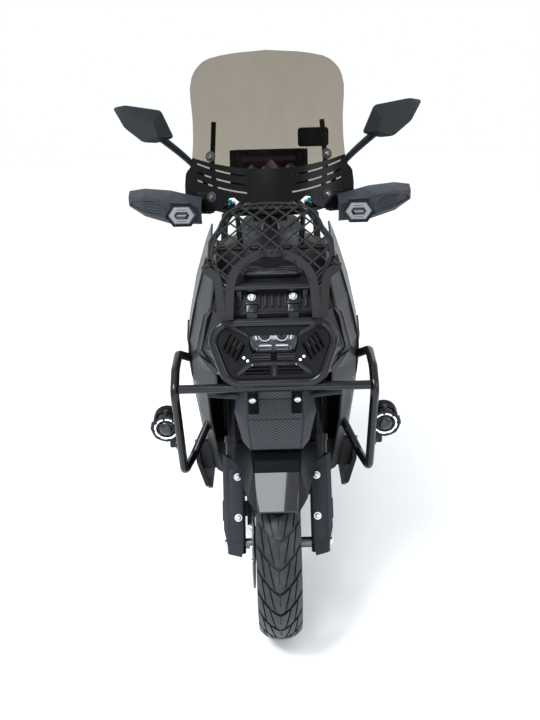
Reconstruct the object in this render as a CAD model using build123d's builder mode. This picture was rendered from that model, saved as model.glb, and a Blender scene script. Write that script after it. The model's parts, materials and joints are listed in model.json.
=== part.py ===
from build123d import *
import math
import os

# Motor scooter with a tall screen, crash bars and a front rack, standing on
# its centre stand. Millimetres, +Z up, nose towards -Y, +X is the rider's left.

os.makedirs("parts", exist_ok=True)

# Wheels
FRONT_AXLE_Y = -700
WHEELBASE = 1350
FRONT_RADIUS = 250
FRONT_WIDTH = 112
REAR_RADIUS = 250
REAR_WIDTH = 130
REAR_LIFT = 14
RIM_RATIO = 0.66
RIM_HALF = 36
SPOKES = 5
DISC_RADIUS = 118
DISC_X = -67

# Steering
RAKE = 27
TRAIL = 95
LEG_X = 113
LEG_RADIUS = 25
TUBE_RADIUS = 17
SLIDER_LONG = 290
SLIDER_FOOT = 26
CROWN_LOW = 736
CROWN_HIGH = 772
HEAD_LOW = 778
HEAD_HIGH = 956
BAR_STEM = 235
BAR_RADIUS = 11
GRIP_RADIUS = 16.5

# Tubes and walls
WALL = 4
FRAME_TUBE = 13
GUARD_TUBE = 11
RACK_TUBE = 8
FIT = 0.3

# Screen
SCREEN_RADIUS = 380
SCREEN_LEAN = 16
SCREEN_AHEAD = 98
SCREEN_RISE = 34
SCREEN_THICK = 4

# Seat, stand and tail
SEAT_HINGE_AHEAD = 712
SEAT_HINGE_Z = 697
STAND_AHEAD = 388
STAND_Z = 165
STAND_X = 122
TAIL_REACH = 300

REAR_AXLE_Y = FRONT_AXLE_Y + WHEELBASE
AFT = REAR_AXLE_Y - 650
BAR_UP = HEAD_HIGH + BAR_STEM
REAR_AXLE_Z = REAR_RADIUS + REAR_LIFT
TAIL_Y = REAR_AXLE_Y + TAIL_REACH
SEAT_HINGE_Y = REAR_AXLE_Y - SEAT_HINGE_AHEAD
STAND_Y = REAR_AXLE_Y - STAND_AHEAD
rake = math.radians(RAKE)
SIN = math.sin(rake)
COS = math.cos(rake)
AXLE_UP = TRAIL * SIN + FRONT_RADIUS * COS
FORK_OFFSET = FRONT_RADIUS * SIN - TRAIL * COS

STEER = Plane(
    origin=(0, FRONT_AXLE_Y - TRAIL, 0),
    x_dir=(1, 0, 0),
    z_dir=(0, SIN, COS),
)


def steer_point(x, back, up):
    return STEER.from_local_coords((x, back, up))


def aft(points):
    return [(y + AFT, z) for y, z in points]


def across(y, z, x=0):
    return Plane(origin=(x, y, z), x_dir=(0, 1, 0), z_dir=(1, 0, 0))


def level(z):
    return Plane(origin=(0, 0, z), x_dir=(1, 0, 0), z_dir=(0, 0, 1))


def station(y):
    return Plane(origin=(0, y, 0), x_dir=(1, 0, 0), z_dir=(0, -1, 0))


def side(x):
    return Plane(origin=(x, 0, 0), x_dir=(0, 1, 0), z_dir=(1, 0, 0))


def tube(points, radius, bend, close=False):
    with BuildPart(mode=Mode.PRIVATE) as run:
        with BuildLine() as path:
            FilletPolyline(*points, radius=bend, close=close)
        start = Plane(origin=path.line @ 0, z_dir=path.line % 0)
        with BuildSketch(start):
            Circle(radius)
        sweep()
    return run.part


def skin(sections):
    with BuildPart(mode=Mode.PRIVATE) as body:
        for plane, points in sections:
            with BuildSketch(plane):
                with BuildLine():
                    Polyline(*points, close=True)
                make_face()
        loft(ruled=True)
    return body.part


def plate(plane, points, thick):
    with BuildPart(mode=Mode.PRIVATE) as body:
        with BuildSketch(plane):
            with BuildLine():
                Polyline(*points, close=True)
            make_face()
        extrude(amount=thick)
    return body.part


def rod(start, end, radius):
    run = Vector(*end) - Vector(*start)
    with BuildPart(mode=Mode.PRIVATE) as bar:
        with BuildSketch(Plane(origin=start, z_dir=run)):
            Circle(radius)
        extrude(amount=run.length)
    return bar.part


def largest(part):
    return part.solids().sort_by(SortBy.VOLUME)[-1]


def wheel_plane(y, z):
    return Plane(origin=(0, y, z), x_dir=(1, 0, 0), z_dir=(0, -1, 0))


def tyre_outline(radius, width):
    half = width / 2
    drop = radius * 0.11
    crown = []
    for step in range(-4, 5):
        turn = math.radians(step * 17)
        rise = (1 - math.cos(turn)) / (1 - math.cos(math.radians(68)))
        crown.append((half * math.sin(turn) / math.sin(math.radians(68)), radius - drop * rise))
    bead = radius * RIM_RATIO + FIT
    flank = [
        (half - 1, radius - drop - 18),
        (half - 13, bead + 26),
        (RIM_HALF - FIT, bead + 15),
        (RIM_HALF - FIT, bead),
    ]
    mirrored = [(-x, r) for x, r in reversed(flank)]
    return crown + flank + mirrored


def rim_outline(radius):
    rim = radius * RIM_RATIO
    half = [
        (RIM_HALF, rim),
        (RIM_HALF, rim + 13),
        (RIM_HALF + 5, rim + 13),
        (RIM_HALF + 5, rim + 2),
        (RIM_HALF - 6, rim - 9),
        (12, rim - 19),
    ]
    return half + [(-x, r) for x, r in reversed(half)]


def spokes(radius, wide, narrow, turn):
    reach = radius * RIM_RATIO - 12
    with PolarLocations((reach + 23) / 2, SPOKES):
        Rectangle(reach - 23, wide)
    with PolarLocations((reach + 23) / 2, SPOKES, start_angle=turn):
        Rectangle(reach - 23, narrow)


# Front wheel
FRONT_AXIS = Axis((0, FRONT_AXLE_Y, FRONT_RADIUS), (1, 0, 0))
with BuildPart() as front_tyre:
    with BuildSketch(wheel_plane(FRONT_AXLE_Y, FRONT_RADIUS)):
        with BuildLine():
            Polyline(*tyre_outline(FRONT_RADIUS, FRONT_WIDTH), close=True)
        make_face()
    revolve(axis=FRONT_AXIS)

HUB_LEFT = DISC_X + 2
HUB_RIGHT = 34
with BuildPart() as front_rim:
    with BuildSketch(wheel_plane(FRONT_AXLE_Y, FRONT_RADIUS)):
        with BuildLine():
            Polyline(*rim_outline(FRONT_RADIUS), close=True)
        make_face()
    revolve(axis=FRONT_AXIS)
    with BuildSketch(across(FRONT_AXLE_Y, FRONT_RADIUS)):
        spokes(FRONT_RADIUS, 24, 14, 16)
    extrude(amount=11, both=True)
    with BuildSketch(across(FRONT_AXLE_Y, FRONT_RADIUS, HUB_LEFT)):
        Circle(31)
    extrude(amount=HUB_RIGHT - HUB_LEFT)
    with BuildSketch(across(FRONT_AXLE_Y, FRONT_RADIUS, HUB_LEFT)):
        Circle(46)
    extrude(amount=9)
    with BuildSketch(across(FRONT_AXLE_Y, FRONT_RADIUS, -100)):
        Circle(8)
    extrude(amount=200, mode=Mode.SUBTRACT)

with BuildPart() as brake_disc:
    with BuildSketch(across(FRONT_AXLE_Y, FRONT_RADIUS, DISC_X - 2)):
        Circle(DISC_RADIUS)
        Circle(30, mode=Mode.SUBTRACT)
        with PolarLocations(66, 6):
            Circle(17, mode=Mode.SUBTRACT)
        with PolarLocations(102, 18):
            Circle(4.5, mode=Mode.SUBTRACT)
    extrude(amount=4)

# Fork, stem and axle
with BuildPart() as front_axle:
    with BuildSketch(across(FRONT_AXLE_Y, FRONT_RADIUS, -LEG_X - LEG_RADIUS - 2)):
        Circle(7.5)
    extrude(amount=2 * (LEG_X + LEG_RADIUS + 2))
    with BuildSketch(across(FRONT_AXLE_Y, FRONT_RADIUS, HUB_RIGHT + FIT)):
        Circle(14)
    extrude(amount=LEG_X - LEG_RADIUS - HUB_RIGHT - 2 * FIT)
    with BuildSketch(across(FRONT_AXLE_Y, FRONT_RADIUS, HUB_LEFT - FIT)):
        Circle(14)
    extrude(amount=-(LEG_X - LEG_RADIUS + HUB_LEFT - 2 * FIT))

with BuildPart(STEER) as fork_legs:
    with Locations((LEG_X, -FORK_OFFSET, AXLE_UP - SLIDER_FOOT)):
        Cylinder(LEG_RADIUS, SLIDER_LONG + SLIDER_FOOT, align=(Align.CENTER, Align.CENTER, Align.MIN))
        Cylinder(TUBE_RADIUS, CROWN_HIGH + 44 - AXLE_UP, align=(Align.CENTER, Align.CENTER, Align.MIN))
    with Locations((LEG_X, -FORK_OFFSET, AXLE_UP + SLIDER_LONG)):
        Cylinder(LEG_RADIUS + 3, 18, align=(Align.CENTER, Align.CENTER, Align.MAX))
    with Locations(Location((LEG_X, -FORK_OFFSET, AXLE_UP), (0, 90, 0))):
        Cylinder(7.5 + FIT, 90, mode=Mode.SUBTRACT)
    mirror(about=Plane.YZ)

with BuildPart(STEER) as steering_stem:
    with BuildSketch(STEER.offset(CROWN_LOW)):
        with BuildLine():
            Polyline(
                (-LEG_X - 14, -FORK_OFFSET - 30),
                (LEG_X + 14, -FORK_OFFSET - 30),
                (LEG_X + 28, -FORK_OFFSET),
                (LEG_X + 14, -FORK_OFFSET + 28),
                (45, 38),
                (-45, 38),
                (-LEG_X - 14, -FORK_OFFSET + 28),
                (-LEG_X - 28, -FORK_OFFSET),
                close=True,
            )
        make_face()
        with Locations((-LEG_X, -FORK_OFFSET), (LEG_X, -FORK_OFFSET)):
            Circle(TUBE_RADIUS, mode=Mode.SUBTRACT)
    extrude(amount=CROWN_HIGH - CROWN_LOW)
    with Locations((0, 0, CROWN_LOW)):
        Cylinder(17, BAR_UP - CROWN_LOW, align=(Align.CENTER, Align.CENTER, Align.MIN))
    with Locations((0, 0, HEAD_LOW + 1), (0, 0, HEAD_HIGH - 16)):
        Cylinder(22 - FIT, 15, align=(Align.CENTER, Align.CENTER, Align.MIN))
    with Locations((0, 0, BAR_UP - 95)):
        Cone(38, 22, 60, align=(Align.CENTER, Align.CENTER, Align.MIN))
    with Locations((0, 0, BAR_UP)):
        Box(96, 44, 44)

BAR_CENTRE = steer_point(0, 0, BAR_UP)
BAR_Y = BAR_CENTRE.Y
BAR_Z = BAR_CENTRE.Z
BAR_RUN = [
    (352, BAR_Y + 34, BAR_Z + 27),
    (165, BAR_Y + 4, BAR_Z + 19),
    (92, BAR_Y, BAR_Z),
]
bar_points = BAR_RUN + [(-x, y, z) for x, y, z in reversed(BAR_RUN)]
GRIP_END = Vector(*BAR_RUN[0])
GRIP_DIR = (Vector(*BAR_RUN[0]) - Vector(*BAR_RUN[1])).normalized()
GRIP_PLANE = Plane(origin=GRIP_END - GRIP_DIR * 140, z_dir=GRIP_DIR)
PERCH_PLANE = Plane(origin=GRIP_END - GRIP_DIR * 187, z_dir=GRIP_DIR)

handlebar_run = tube(bar_points, BAR_RADIUS, 30)
with BuildPart() as handlebar:
    add(handlebar_run)
with BuildPart() as stem_cut:
    add(steering_stem.part)
    add(handlebar_run, mode=Mode.SUBTRACT)
steering_stem = stem_cut

with BuildPart() as grips:
    with BuildSketch(GRIP_PLANE):
        Circle(GRIP_RADIUS)
        Circle(BAR_RADIUS, mode=Mode.SUBTRACT)
    extrude(amount=128)
    with BuildSketch(GRIP_PLANE):
        Circle(GRIP_RADIUS + 5)
        Circle(BAR_RADIUS, mode=Mode.SUBTRACT)
    extrude(amount=5)
    mirror(about=Plane.YZ)

lever = tube(
    [
        PERCH_PLANE.origin + Vector(0, -34, -4),
        PERCH_PLANE.origin + Vector(30, -58, -6),
        PERCH_PLANE.origin + Vector(150, -42, -10),
    ],
    5,
    18,
)
with BuildPart() as controls:
    with BuildSketch(PERCH_PLANE):
        Circle(23)
    extrude(amount=44)
    with Locations(PERCH_PLANE.origin + Vector(8, -30, 4)):
        Box(38, 38, 30)
    add(lever)
    add(handlebar_run, mode=Mode.SUBTRACT)
    mirror(about=Plane.YZ)

# Handguards: section points at each distance out, measured from the bar centre
HANDGUARD = [
    {"x": 188, "low": -15, "mid": -9, "high": 40, "top": 54, "front": -96, "back": -52},
    {"x": 275, "low": -11, "mid": -1, "high": 54, "top": 75, "front": -98, "back": -46},
    {"x": 348, "low": 7, "mid": 17, "high": 61, "top": 78, "front": -74, "back": -22},
    {"x": 398, "low": 23, "mid": 29, "high": 53, "top": 65, "front": -8, "back": 22},
]


def from_bar(points):
    return [(a, BAR_Z + z) for a, z in points]


def handguard_section(row):
    t = 5
    front = BAR_Y + row["front"]
    back = BAR_Y + row["back"]
    return from_bar(
        [
            (front + 14, row["low"]),
            (front, row["mid"]),
            (front, row["high"]),
            (back, row["top"]),
            (back, row["top"] - t),
            (front + t, row["high"] - t * 0.6),
            (front + t, row["mid"] + 2),
            (front + 14, row["low"] + t),
        ]
    )


LAMP = (241, BAR_Y - 107, BAR_Z + 17)
LAMP_BEZEL = {"half": 45, "flat": 25, "high": 31}
LAMP_FACE = {"half": 36, "flat": 20, "high": 23}


def hexagon(row):
    upper = [(row["half"], 0), (row["flat"], row["high"]), (-row["flat"], row["high"])]
    return upper + [(-x, -y) for x, y in upper]


guard_shell = skin([(side(row["x"]), handguard_section(row)) for row in HANDGUARD])
guard_arm = rod((196, BAR_Y + 4, BAR_Z + 21), (200, BAR_Y - 95, BAR_Z + 17), 9)
with BuildPart() as guard_whole:
    add(guard_shell)
    add(plate(Plane(origin=LAMP, x_dir=(1, 0, 0), z_dir=(0, 1, 0)), hexagon(LAMP_BEZEL), 12))
    add(guard_arm)
    add(rod((346, BAR_Y + 33, BAR_Z + 27), (386, BAR_Y - 22, BAR_Z + 41), 8))
    add(handlebar_run, mode=Mode.SUBTRACT)
    add(grips.part, mode=Mode.SUBTRACT)
    add(controls.part, mode=Mode.SUBTRACT)
with BuildPart() as handguards:
    add(largest(guard_whole.part))
    mirror(about=Plane.YZ)

with BuildPart() as guard_lamps:
    add(plate(Plane(origin=LAMP, x_dir=(1, 0, 0), z_dir=(0, -1, 0)), hexagon(LAMP_FACE), 7))
    mirror(about=Plane.YZ)

# Mirrors, outlines measured up from the bar centre
MIRROR_OUTLINE = [(254, 221), (296, 204), (356, 211), (412, 294), (378, 302), (286, 286)]
MIRROR_BACK = [(270, 238), (302, 249), (347, 268), (398, 291), (379, 286), (302, 254)]
MIRROR_FACE = [(265, 225), (299, 211), (351, 217), (401, 291), (376, 296), (291, 281)]
MIRROR_Y = BAR_Y - 34
MIRROR_STEM = 8.5
mirror_stem = tube(
    [
        (178, BAR_Y - 2, BAR_Z + 14),
        (184, BAR_Y + 22, BAR_Z + 89),
        (228, BAR_Y + 28, BAR_Z + 147),
        (330, BAR_Y - 46, BAR_Z + 248),
    ],
    MIRROR_STEM,
    22,
)
mirror_shell = skin(
    [
        (station(MIRROR_Y), from_bar(MIRROR_OUTLINE)),
        (station(MIRROR_Y - 14), from_bar(MIRROR_OUTLINE)),
        (station(MIRROR_Y - 36), from_bar(MIRROR_BACK)),
    ]
)
with BuildPart() as mirrors:
    add(mirror_shell)
    add(mirror_stem)
    add(controls.part, mode=Mode.SUBTRACT)
    add(handlebar_run, mode=Mode.SUBTRACT)
    mirror(about=Plane.YZ)
mirror_glass_half = plate(
    Plane(origin=(0, MIRROR_Y, 0), x_dir=(1, 0, 0), z_dir=(0, -1, 0)),
    from_bar(MIRROR_FACE),
    -2,
)
with BuildPart() as mirror_glass:
    add(mirror_glass_half)
    add(mirrors.part, mode=Mode.SUBTRACT)
    mirror(about=Plane.YZ)

# Screen, outline measured up from the bar centre
lean = math.radians(SCREEN_LEAN)
SCREEN = Plane(
    origin=(0, BAR_Y - SCREEN_AHEAD, BAR_Z + SCREEN_RISE),
    x_dir=(1, 0, 0),
    z_dir=(0, math.sin(lean), math.cos(lean)),
)
SCREEN_OUTLINE = [
    (100, 62),
    (122, 42),
    (150, 37),
    (206, 45),
    (220, 89),
    (216, 135),
    (204, 201),
    (202, 239),
    (209, 305),
    (208, 360),
    (203, 388),
    (192, 408),
    (172, 421),
    (140, 429),
    (70, 435),
]
screen_edge = from_bar(SCREEN_OUTLINE + [(-x, z) for x, z in reversed(SCREEN_OUTLINE)])
with BuildPart() as windscreen:
    with BuildSketch(SCREEN.offset(-60)):
        with Locations((0, SCREEN_RADIUS)):
            Circle(SCREEN_RADIUS)
            Circle(SCREEN_RADIUS - SCREEN_THICK, mode=Mode.SUBTRACT)
        with Locations((0, SCREEN_RADIUS + 90)):
            Rectangle(900, 2 * SCREEN_RADIUS, mode=Mode.SUBTRACT)
    extrude(amount=560)
    with BuildSketch(station(BAR_Y + 104)):
        with BuildLine():
            Polyline(*screen_edge, close=True)
        make_face()
    extrude(amount=420, mode=Mode.INTERSECT)

stay_foot = tube(
    [
        (110, BAR_Y + 2, BAR_Z + 6),
        (150, BAR_Y - 4, BAR_Z + 49),
        (158, BAR_Y - 12, BAR_Z + 129),
        (150, BAR_Y + 20, BAR_Z + 249),
    ],
    7,
    20,
)
with BuildPart() as stay_whole:
    add(stay_foot)
    for high in (55, 161):
        with BuildSketch(Plane(origin=(160, BAR_Y + 2, BAR_Z + high), x_dir=(1, 0, 0), z_dir=(0, -1, 0))):
            Circle(9)
        extrude(amount=110)
    add(handlebar_run, mode=Mode.SUBTRACT)
with BuildPart() as screen_front:
    with BuildSketch(SCREEN.offset(-80)):
        with Locations((0, SCREEN_RADIUS)):
            Circle(SCREEN_RADIUS + 80)
            Circle(SCREEN_RADIUS - SCREEN_THICK, mode=Mode.SUBTRACT)
        with Locations((0, SCREEN_RADIUS + 160)):
            Rectangle(1200, 2 * SCREEN_RADIUS, mode=Mode.SUBTRACT)
    extrude(amount=600)
with BuildPart() as stays_cut:
    add(stay_whole.part)
    add(screen_front.part, mode=Mode.SUBTRACT)
with BuildPart() as screen_stays:
    add(largest(stays_cut.part))
    mirror(about=Plane.YZ)
    with BuildSketch(Plane(origin=(126, BAR_Y + 40, BAR_Z + 201), x_dir=(1, 0, 0), z_dir=(0, -1, 0))):
        RectangleRounded(86, 52, 9)
    extrude(amount=10)
    add(rod((152, BAR_Y + 36, BAR_Z + 201), (152, BAR_Y + 8, BAR_Z + 201), 8))

# Instrument
DIAL = Plane(
    origin=(0, BAR_Y - 42, BAR_Z + 129),
    x_dir=(1, 0, 0),
    z_dir=(0, math.sin(0.35), math.cos(0.35)),
)
with BuildPart(DIAL) as dial_box:
    Box(214, 34, 96)
    with Locations((0, -12, -68)):
        Box(56, 26, 90)
    with Locations((0, 8, -112)):
        Box(70, 40, 24)
with BuildPart() as instrument:
    add(dial_box.part)
    add(screen_front.part, mode=Mode.SUBTRACT)
    add(steering_stem.part, mode=Mode.SUBTRACT)
    add(handlebar_run, mode=Mode.SUBTRACT)

# Cables from the bar to the stem, and the hose from the crown to the caliper
bar_cable = tube(
    [
        (162, BAR_Y - 36, BAR_Z + 20),
        (104, BAR_Y - 62, BAR_Z + 8),
        (52, BAR_Y - 58, BAR_Z - 30),
        (8, BAR_Y - 38, BAR_Z - 58),
    ],
    4.5,
    34,
)
HOSE_BACK = LEG_RADIUS + 14 - FORK_OFFSET
caliper_hose = tube(
    [
        steer_point(-LEG_X + 12, HOSE_BACK, CROWN_LOW + 3),
        steer_point(-LEG_X + 6, HOSE_BACK + 2, AXLE_UP + FRONT_RADIUS),
        steer_point(DISC_X, 52, AXLE_UP + 130),
    ],
    4.5,
    60,
)

# Fender: hat section at each station, in wheel radii from the axle
FENDER = [
    {"back": -0.808, "top": 44, "up": 0.832, "edge": 50, "down": 0.800},
    {"back": -0.560, "top": 58, "up": 1.124, "edge": 74, "down": 0.832},
    {"back": -0.184, "top": 64, "up": 1.124, "edge": 98, "down": 0.936},
    {"back": 0.180, "top": 66, "up": 1.132, "edge": 110, "down": 1.048},
    {"back": 0.340, "top": 66, "up": 1.084, "edge": 74, "down": 0.920},
    {"back": 0.560, "top": 66, "up": 0.988, "edge": 70, "down": 0.792},
    {"back": 0.840, "top": 66, "up": 0.764, "edge": 69, "down": 0.584},
    {"back": 0.992, "top": 66, "up": 0.564, "edge": 68, "down": 0.424},
]
fender_rows = [
    {
        "y": FRONT_AXLE_Y + row["back"] * FRONT_RADIUS,
        "top": row["top"],
        "high": FRONT_RADIUS * (1 + row["up"]),
        "edge": row["edge"],
        "low": FRONT_RADIUS * (1 + row["down"]),
    }
    for row in FENDER
]


def hat(row, t=3.5):
    return [
        (-row["edge"], row["low"]),
        (-row["top"], row["high"]),
        (row["top"], row["high"]),
        (row["edge"], row["low"]),
        (row["edge"] - t, row["low"]),
        (row["top"] - t, row["high"] - t),
        (-row["top"] + t, row["high"] - t),
        (-row["edge"] + t, row["low"]),
    ]


fender_shell = skin([(station(row["y"]), hat(row)) for row in fender_rows])
FENDER_BOSS = steer_point(0, -FORK_OFFSET, AXLE_UP + 1.048 * FRONT_RADIUS)
with BuildPart() as front_fender:
    add(fender_shell)
    for sign in (-1, 1):
        with BuildSketch(across(FENDER_BOSS.Y, FENDER_BOSS.Z, sign * 66.5)):
            Rectangle(44, 34)
        extrude(amount=sign * 40)
    add(fork_legs.part, mode=Mode.SUBTRACT)

# Fork guards: wrap round the front and outer side of each slider
GUARD_FRONT = -FORK_OFFSET - LEG_RADIUS - FIT - 4
GUARD_BOLTS = (70, 178)
GUARD_PROFILE = [
    (LEG_X - 25, GUARD_FRONT + 8),
    (LEG_X - 18, GUARD_FRONT),
    (LEG_X + 22, GUARD_FRONT),
    (LEG_X + 33, GUARD_FRONT + 12),
    (LEG_X + 33, GUARD_FRONT + 34),
    (LEG_X + 29, GUARD_FRONT + 34),
    (LEG_X + 29, GUARD_FRONT + 14),
    (LEG_X + 20, GUARD_FRONT + 4),
    (LEG_X - 16, GUARD_FRONT + 4),
    (LEG_X - 22, GUARD_FRONT + 10),
]
GUARD_FACE = [
    (LEG_X - 26, 205),
    (LEG_X - 5, 216),
    (LEG_X + 34, 240),
    (LEG_X + 34, 45),
    (LEG_X + 18, -26),
    (LEG_X - 14, -34),
    (LEG_X - 26, 16),
]
with BuildPart() as fork_guards:
    with BuildSketch(STEER.offset(AXLE_UP - 40)):
        with BuildLine():
            Polyline(*GUARD_PROFILE, close=True)
        make_face()
    extrude(amount=380)
    guard_plane = Plane(origin=steer_point(0, -140, AXLE_UP), x_dir=(1, 0, 0), z_dir=-STEER.y_dir)
    with BuildSketch(guard_plane):
        with BuildLine():
            Polyline(*GUARD_FACE, close=True)
        make_face()
    extrude(amount=-240, mode=Mode.INTERSECT)
    for up in GUARD_BOLTS:
        boss = steer_point(LEG_X, GUARD_FRONT + 1, AXLE_UP + up)
        with BuildSketch(Plane(origin=boss, x_dir=(1, 0, 0), z_dir=STEER.y_dir)):
            Circle(9)
        extrude(amount=12)
    add(fork_legs.part, mode=Mode.SUBTRACT)
    add(front_fender.part, mode=Mode.SUBTRACT)
    mirror(about=Plane.YZ)

# Caliper
with BuildPart(STEER) as caliper_block:
    with Locations((DISC_X, 52, AXLE_UP + 92)):
        Box(36, 46, 92)
    with Locations((-LEG_X + 16, 20, AXLE_UP + 92)):
        Box(34, 60, 40)
    with Locations(Location((DISC_X, -FORK_OFFSET, AXLE_UP), (0, 90, 0))):
        Cylinder(DISC_RADIUS + 5, 9, mode=Mode.SUBTRACT)
with BuildPart() as brake_caliper:
    add(caliper_block.part)
    add(fork_legs.part, mode=Mode.SUBTRACT)
with BuildPart() as cable_pair:
    add(bar_cable)
    add(controls.part, mode=Mode.SUBTRACT)
    add(instrument.part, mode=Mode.SUBTRACT)
    add(steering_stem.part, mode=Mode.SUBTRACT)
with BuildPart() as brake_lines:
    add(largest(cable_pair.part))
    mirror(about=Plane.YZ)
    add(caliper_hose)
    add(brake_caliper.part, mode=Mode.SUBTRACT)
    add(steering_stem.part, mode=Mode.SUBTRACT)

# Frame
HEAD_SIDE = steer_point(18, 10, HEAD_LOW + 88)
RAIL = [
    (18, HEAD_SIDE.Y, HEAD_SIDE.Z),
    (72, -352, 640),
    (76, -352, 310),
    (84, -270, 232),
    (86, AFT + 90, 232),
    (102, AFT + 150, 340),
    (128, AFT + 196, 470),
    (128, AFT + 300, 596),
    (128, AFT + 480, 650),
    (96, AFT + 770, 742),
]
rail = tube(RAIL, FRAME_TUBE, 40)
with BuildPart(STEER) as head_tube:
    with Locations((0, 0, HEAD_LOW)):
        Cylinder(31, HEAD_HIGH - HEAD_LOW, align=(Align.CENTER, Align.CENTER, Align.MIN))
with BuildPart(STEER) as head_bore:
    with Locations((0, 0, HEAD_LOW - 40)):
        Cylinder(22, 300, align=(Align.CENTER, Align.CENTER, Align.MIN))
with BuildPart() as frame:
    add(rail)
    mirror(about=Plane.YZ)
    add(head_tube.part)
    for y, z, reach in ((-150, 232, 84), (AFT + 60, 232, 85), (AFT + 700, 720, 102), (-352, 420, 74)):
        add(rod((-reach, y, z), (reach, y, z), FRAME_TUBE - 3))
    add(head_bore.part, mode=Mode.SUBTRACT)

# Nose panel round the headlamp
NOSE_EDGE = [(157, 906), (190, 803), (148, 735)]
NOSE_FACE = [(106, 900), (128, 815), (98, 748)]
NOSE_Y = -688
NOSE_FRONT = -742


def ring(points, shrink=0):
    right = [(x - shrink, z - shrink * (1 if z > 815 else -1 if z < 780 else 0)) for x, z in points]
    return right + [(-x, z) for x, z in reversed(right)]


LAMP_HOLE = [(58, 874), (52, 812)]
nose_outer = skin([(station(NOSE_Y), ring(NOSE_EDGE)), (station(NOSE_FRONT), ring(NOSE_FACE))])
nose_inner = skin(
    [(station(NOSE_Y + 0.1), ring(NOSE_EDGE, 6)), (station(NOSE_FRONT + WALL), ring(NOSE_FACE, 5))]
)
with BuildPart() as nose_panel:
    add(nose_outer)
    add(nose_inner, mode=Mode.SUBTRACT)
    with BuildSketch(station(NOSE_FRONT + 30)):
        with BuildLine():
            Polyline(*ring(LAMP_HOLE), close=True)
        make_face()
    extrude(amount=80, mode=Mode.SUBTRACT)

with BuildPart() as headlamp:
    with BuildSketch(station(NOSE_FRONT + WALL)):
        Rectangle(142, 84)
        Rectangle(116, 62, mode=Mode.SUBTRACT)
    headlamp_wall = extrude(amount=-40)
    with BuildSketch(station(NOSE_FRONT + WALL + 40)):
        Rectangle(142, 84)
    extrude(amount=-6)
headlamp.part = headlamp.part.moved(Location((0, 0, 843)))

with BuildPart() as headlamp_lens:
    with BuildSketch(station(NOSE_FRONT + WALL)):
        with BuildLine():
            Polyline(*[(x * 0.985, 843 + (z - 843) * 0.985) for x, z in ring(LAMP_HOLE)], close=True)
        make_face()
    extrude(amount=12)

# Nose top: hat section at each station
NOSE_TOP = [
    {"y": -744, "top": 104, "high": 905, "edge": 118, "low": 880},
    {"y": -690, "top": 106, "high": 966, "edge": 150, "low": 905},
    {"y": -600, "top": 98, "high": 1000, "edge": 160, "low": 950},
    {"y": -440, "top": 84, "high": 1026, "edge": 160, "low": 985},
    {"y": -356, "top": 78, "high": 1030, "edge": 146, "low": 996},
]
nose_fill = skin(
    [
        (
            station(row["y"]),
            [
                (-row["edge"], row["low"]),
                (-row["top"], row["high"]),
                (row["top"], row["high"]),
                (row["edge"], row["low"]),
                (row["edge"], 780),
                (-row["edge"], 780),
            ],
        )
        for row in NOSE_TOP
    ]
)
nose_top_shell = skin([(station(row["y"]), hat(row, WALL)) for row in NOSE_TOP])
with BuildPart() as nose_top:
    add(nose_top_shell)
    add(nose_outer, mode=Mode.SUBTRACT)

# Side cowls: outer line at each height, from the nose back to the knees
SIDE_COWL = [
    {"z": 690, "front": (150, -690), "mid": (214, -600), "rear": (240, -430)},
    {"z": 736, "front": (150, -690), "mid": (216, -605), "rear": (239, -418)},
    {"z": 803, "front": (190, -686), "mid": (216, -610), "rear": (233, -396)},
    {"z": 906, "front": (158, -684), "mid": (194, -592), "rear": (212, -352)},
    {"z": 1000, "front": (140, -610), "mid": (168, -540), "rear": (182, -320)},
    {"z": 1046, "front": (136, -570), "mid": (156, -510), "rear": (164, -330)},
]
LOWER_COWL = [
    {"z": 350, "front": (150, -480), "mid": (170, -456), "rear": (188, -410)},
    {"z": 440, "front": (168, -512), "mid": (190, -470), "rear": (208, -410)},
    {"z": 560, "front": (174, -594), "mid": (204, -525), "rear": (226, -410)},
    {"z": 689.7, "front": (176, -655), "mid": (212, -560), "rear": (240, -430)},
]


def cowl(row, t=5):
    outer = [row["front"], row["mid"], row["rear"]]
    return outer + [(x - t, y) for x, y in reversed(outer)]


cowl_shell = skin([(level(row["z"]), cowl(row)) for row in SIDE_COWL])
lower_shell = skin([(level(row["z"]), cowl(row)) for row in LOWER_COWL])
with BuildPart() as side_cowl_left:
    add(cowl_shell)
    add(nose_outer, mode=Mode.SUBTRACT)
    add(nose_top_shell, mode=Mode.SUBTRACT)
with BuildPart() as side_cowl_right:
    mirror(side_cowl_left.part, about=Plane.YZ)
with BuildPart() as lower_cowl_left:
    add(lower_shell)
with BuildPart() as lower_cowl_right:
    mirror(lower_cowl_left.part, about=Plane.YZ)

# Chevron panel below the headlamp
CHEVRON_TOP = 738
CHEVRON_LOW = 2 * FRONT_RADIUS + 45
CHEVRON_DEEP = 52
CHEVRON = [
    {"y": -690, "down": 0.0, "half": 70, "wing": 90},
    {"y": -700, "down": 0.36, "half": 71, "wing": 100},
    {"y": -716, "down": 0.62, "half": 74, "wing": 106},
    {"y": -738, "down": 1.0, "half": 66, "wing": 86},
]


def chevron_level(row):
    return level(CHEVRON_TOP + (CHEVRON_LOW - CHEVRON_TOP) * row["down"])


def chevron_section(row):
    half = row["half"]
    wing = row["wing"]
    back = row["y"] + CHEVRON_DEEP
    return [
        (-half, row["y"]),
        (half, row["y"]),
        (wing, back),
        (wing - WALL, back),
        (half - 3, row["y"] + WALL),
        (-half + 3, row["y"] + WALL),
        (-wing + WALL, back),
        (-wing, back),
    ]


chevron_shell = skin([(chevron_level(row), chevron_section(row)) for row in CHEVRON])
with BuildPart() as chevron_panel:
    add(chevron_shell)
    for sign in (-1, 1):
        add(rod((sign * 92, -660, 660), (sign * 173, -640, 660), 7))
    add(nose_outer, mode=Mode.SUBTRACT)
    add(lower_shell, mode=Mode.SUBTRACT)
    add(mirror(lower_shell, about=Plane.YZ), mode=Mode.SUBTRACT)

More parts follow.
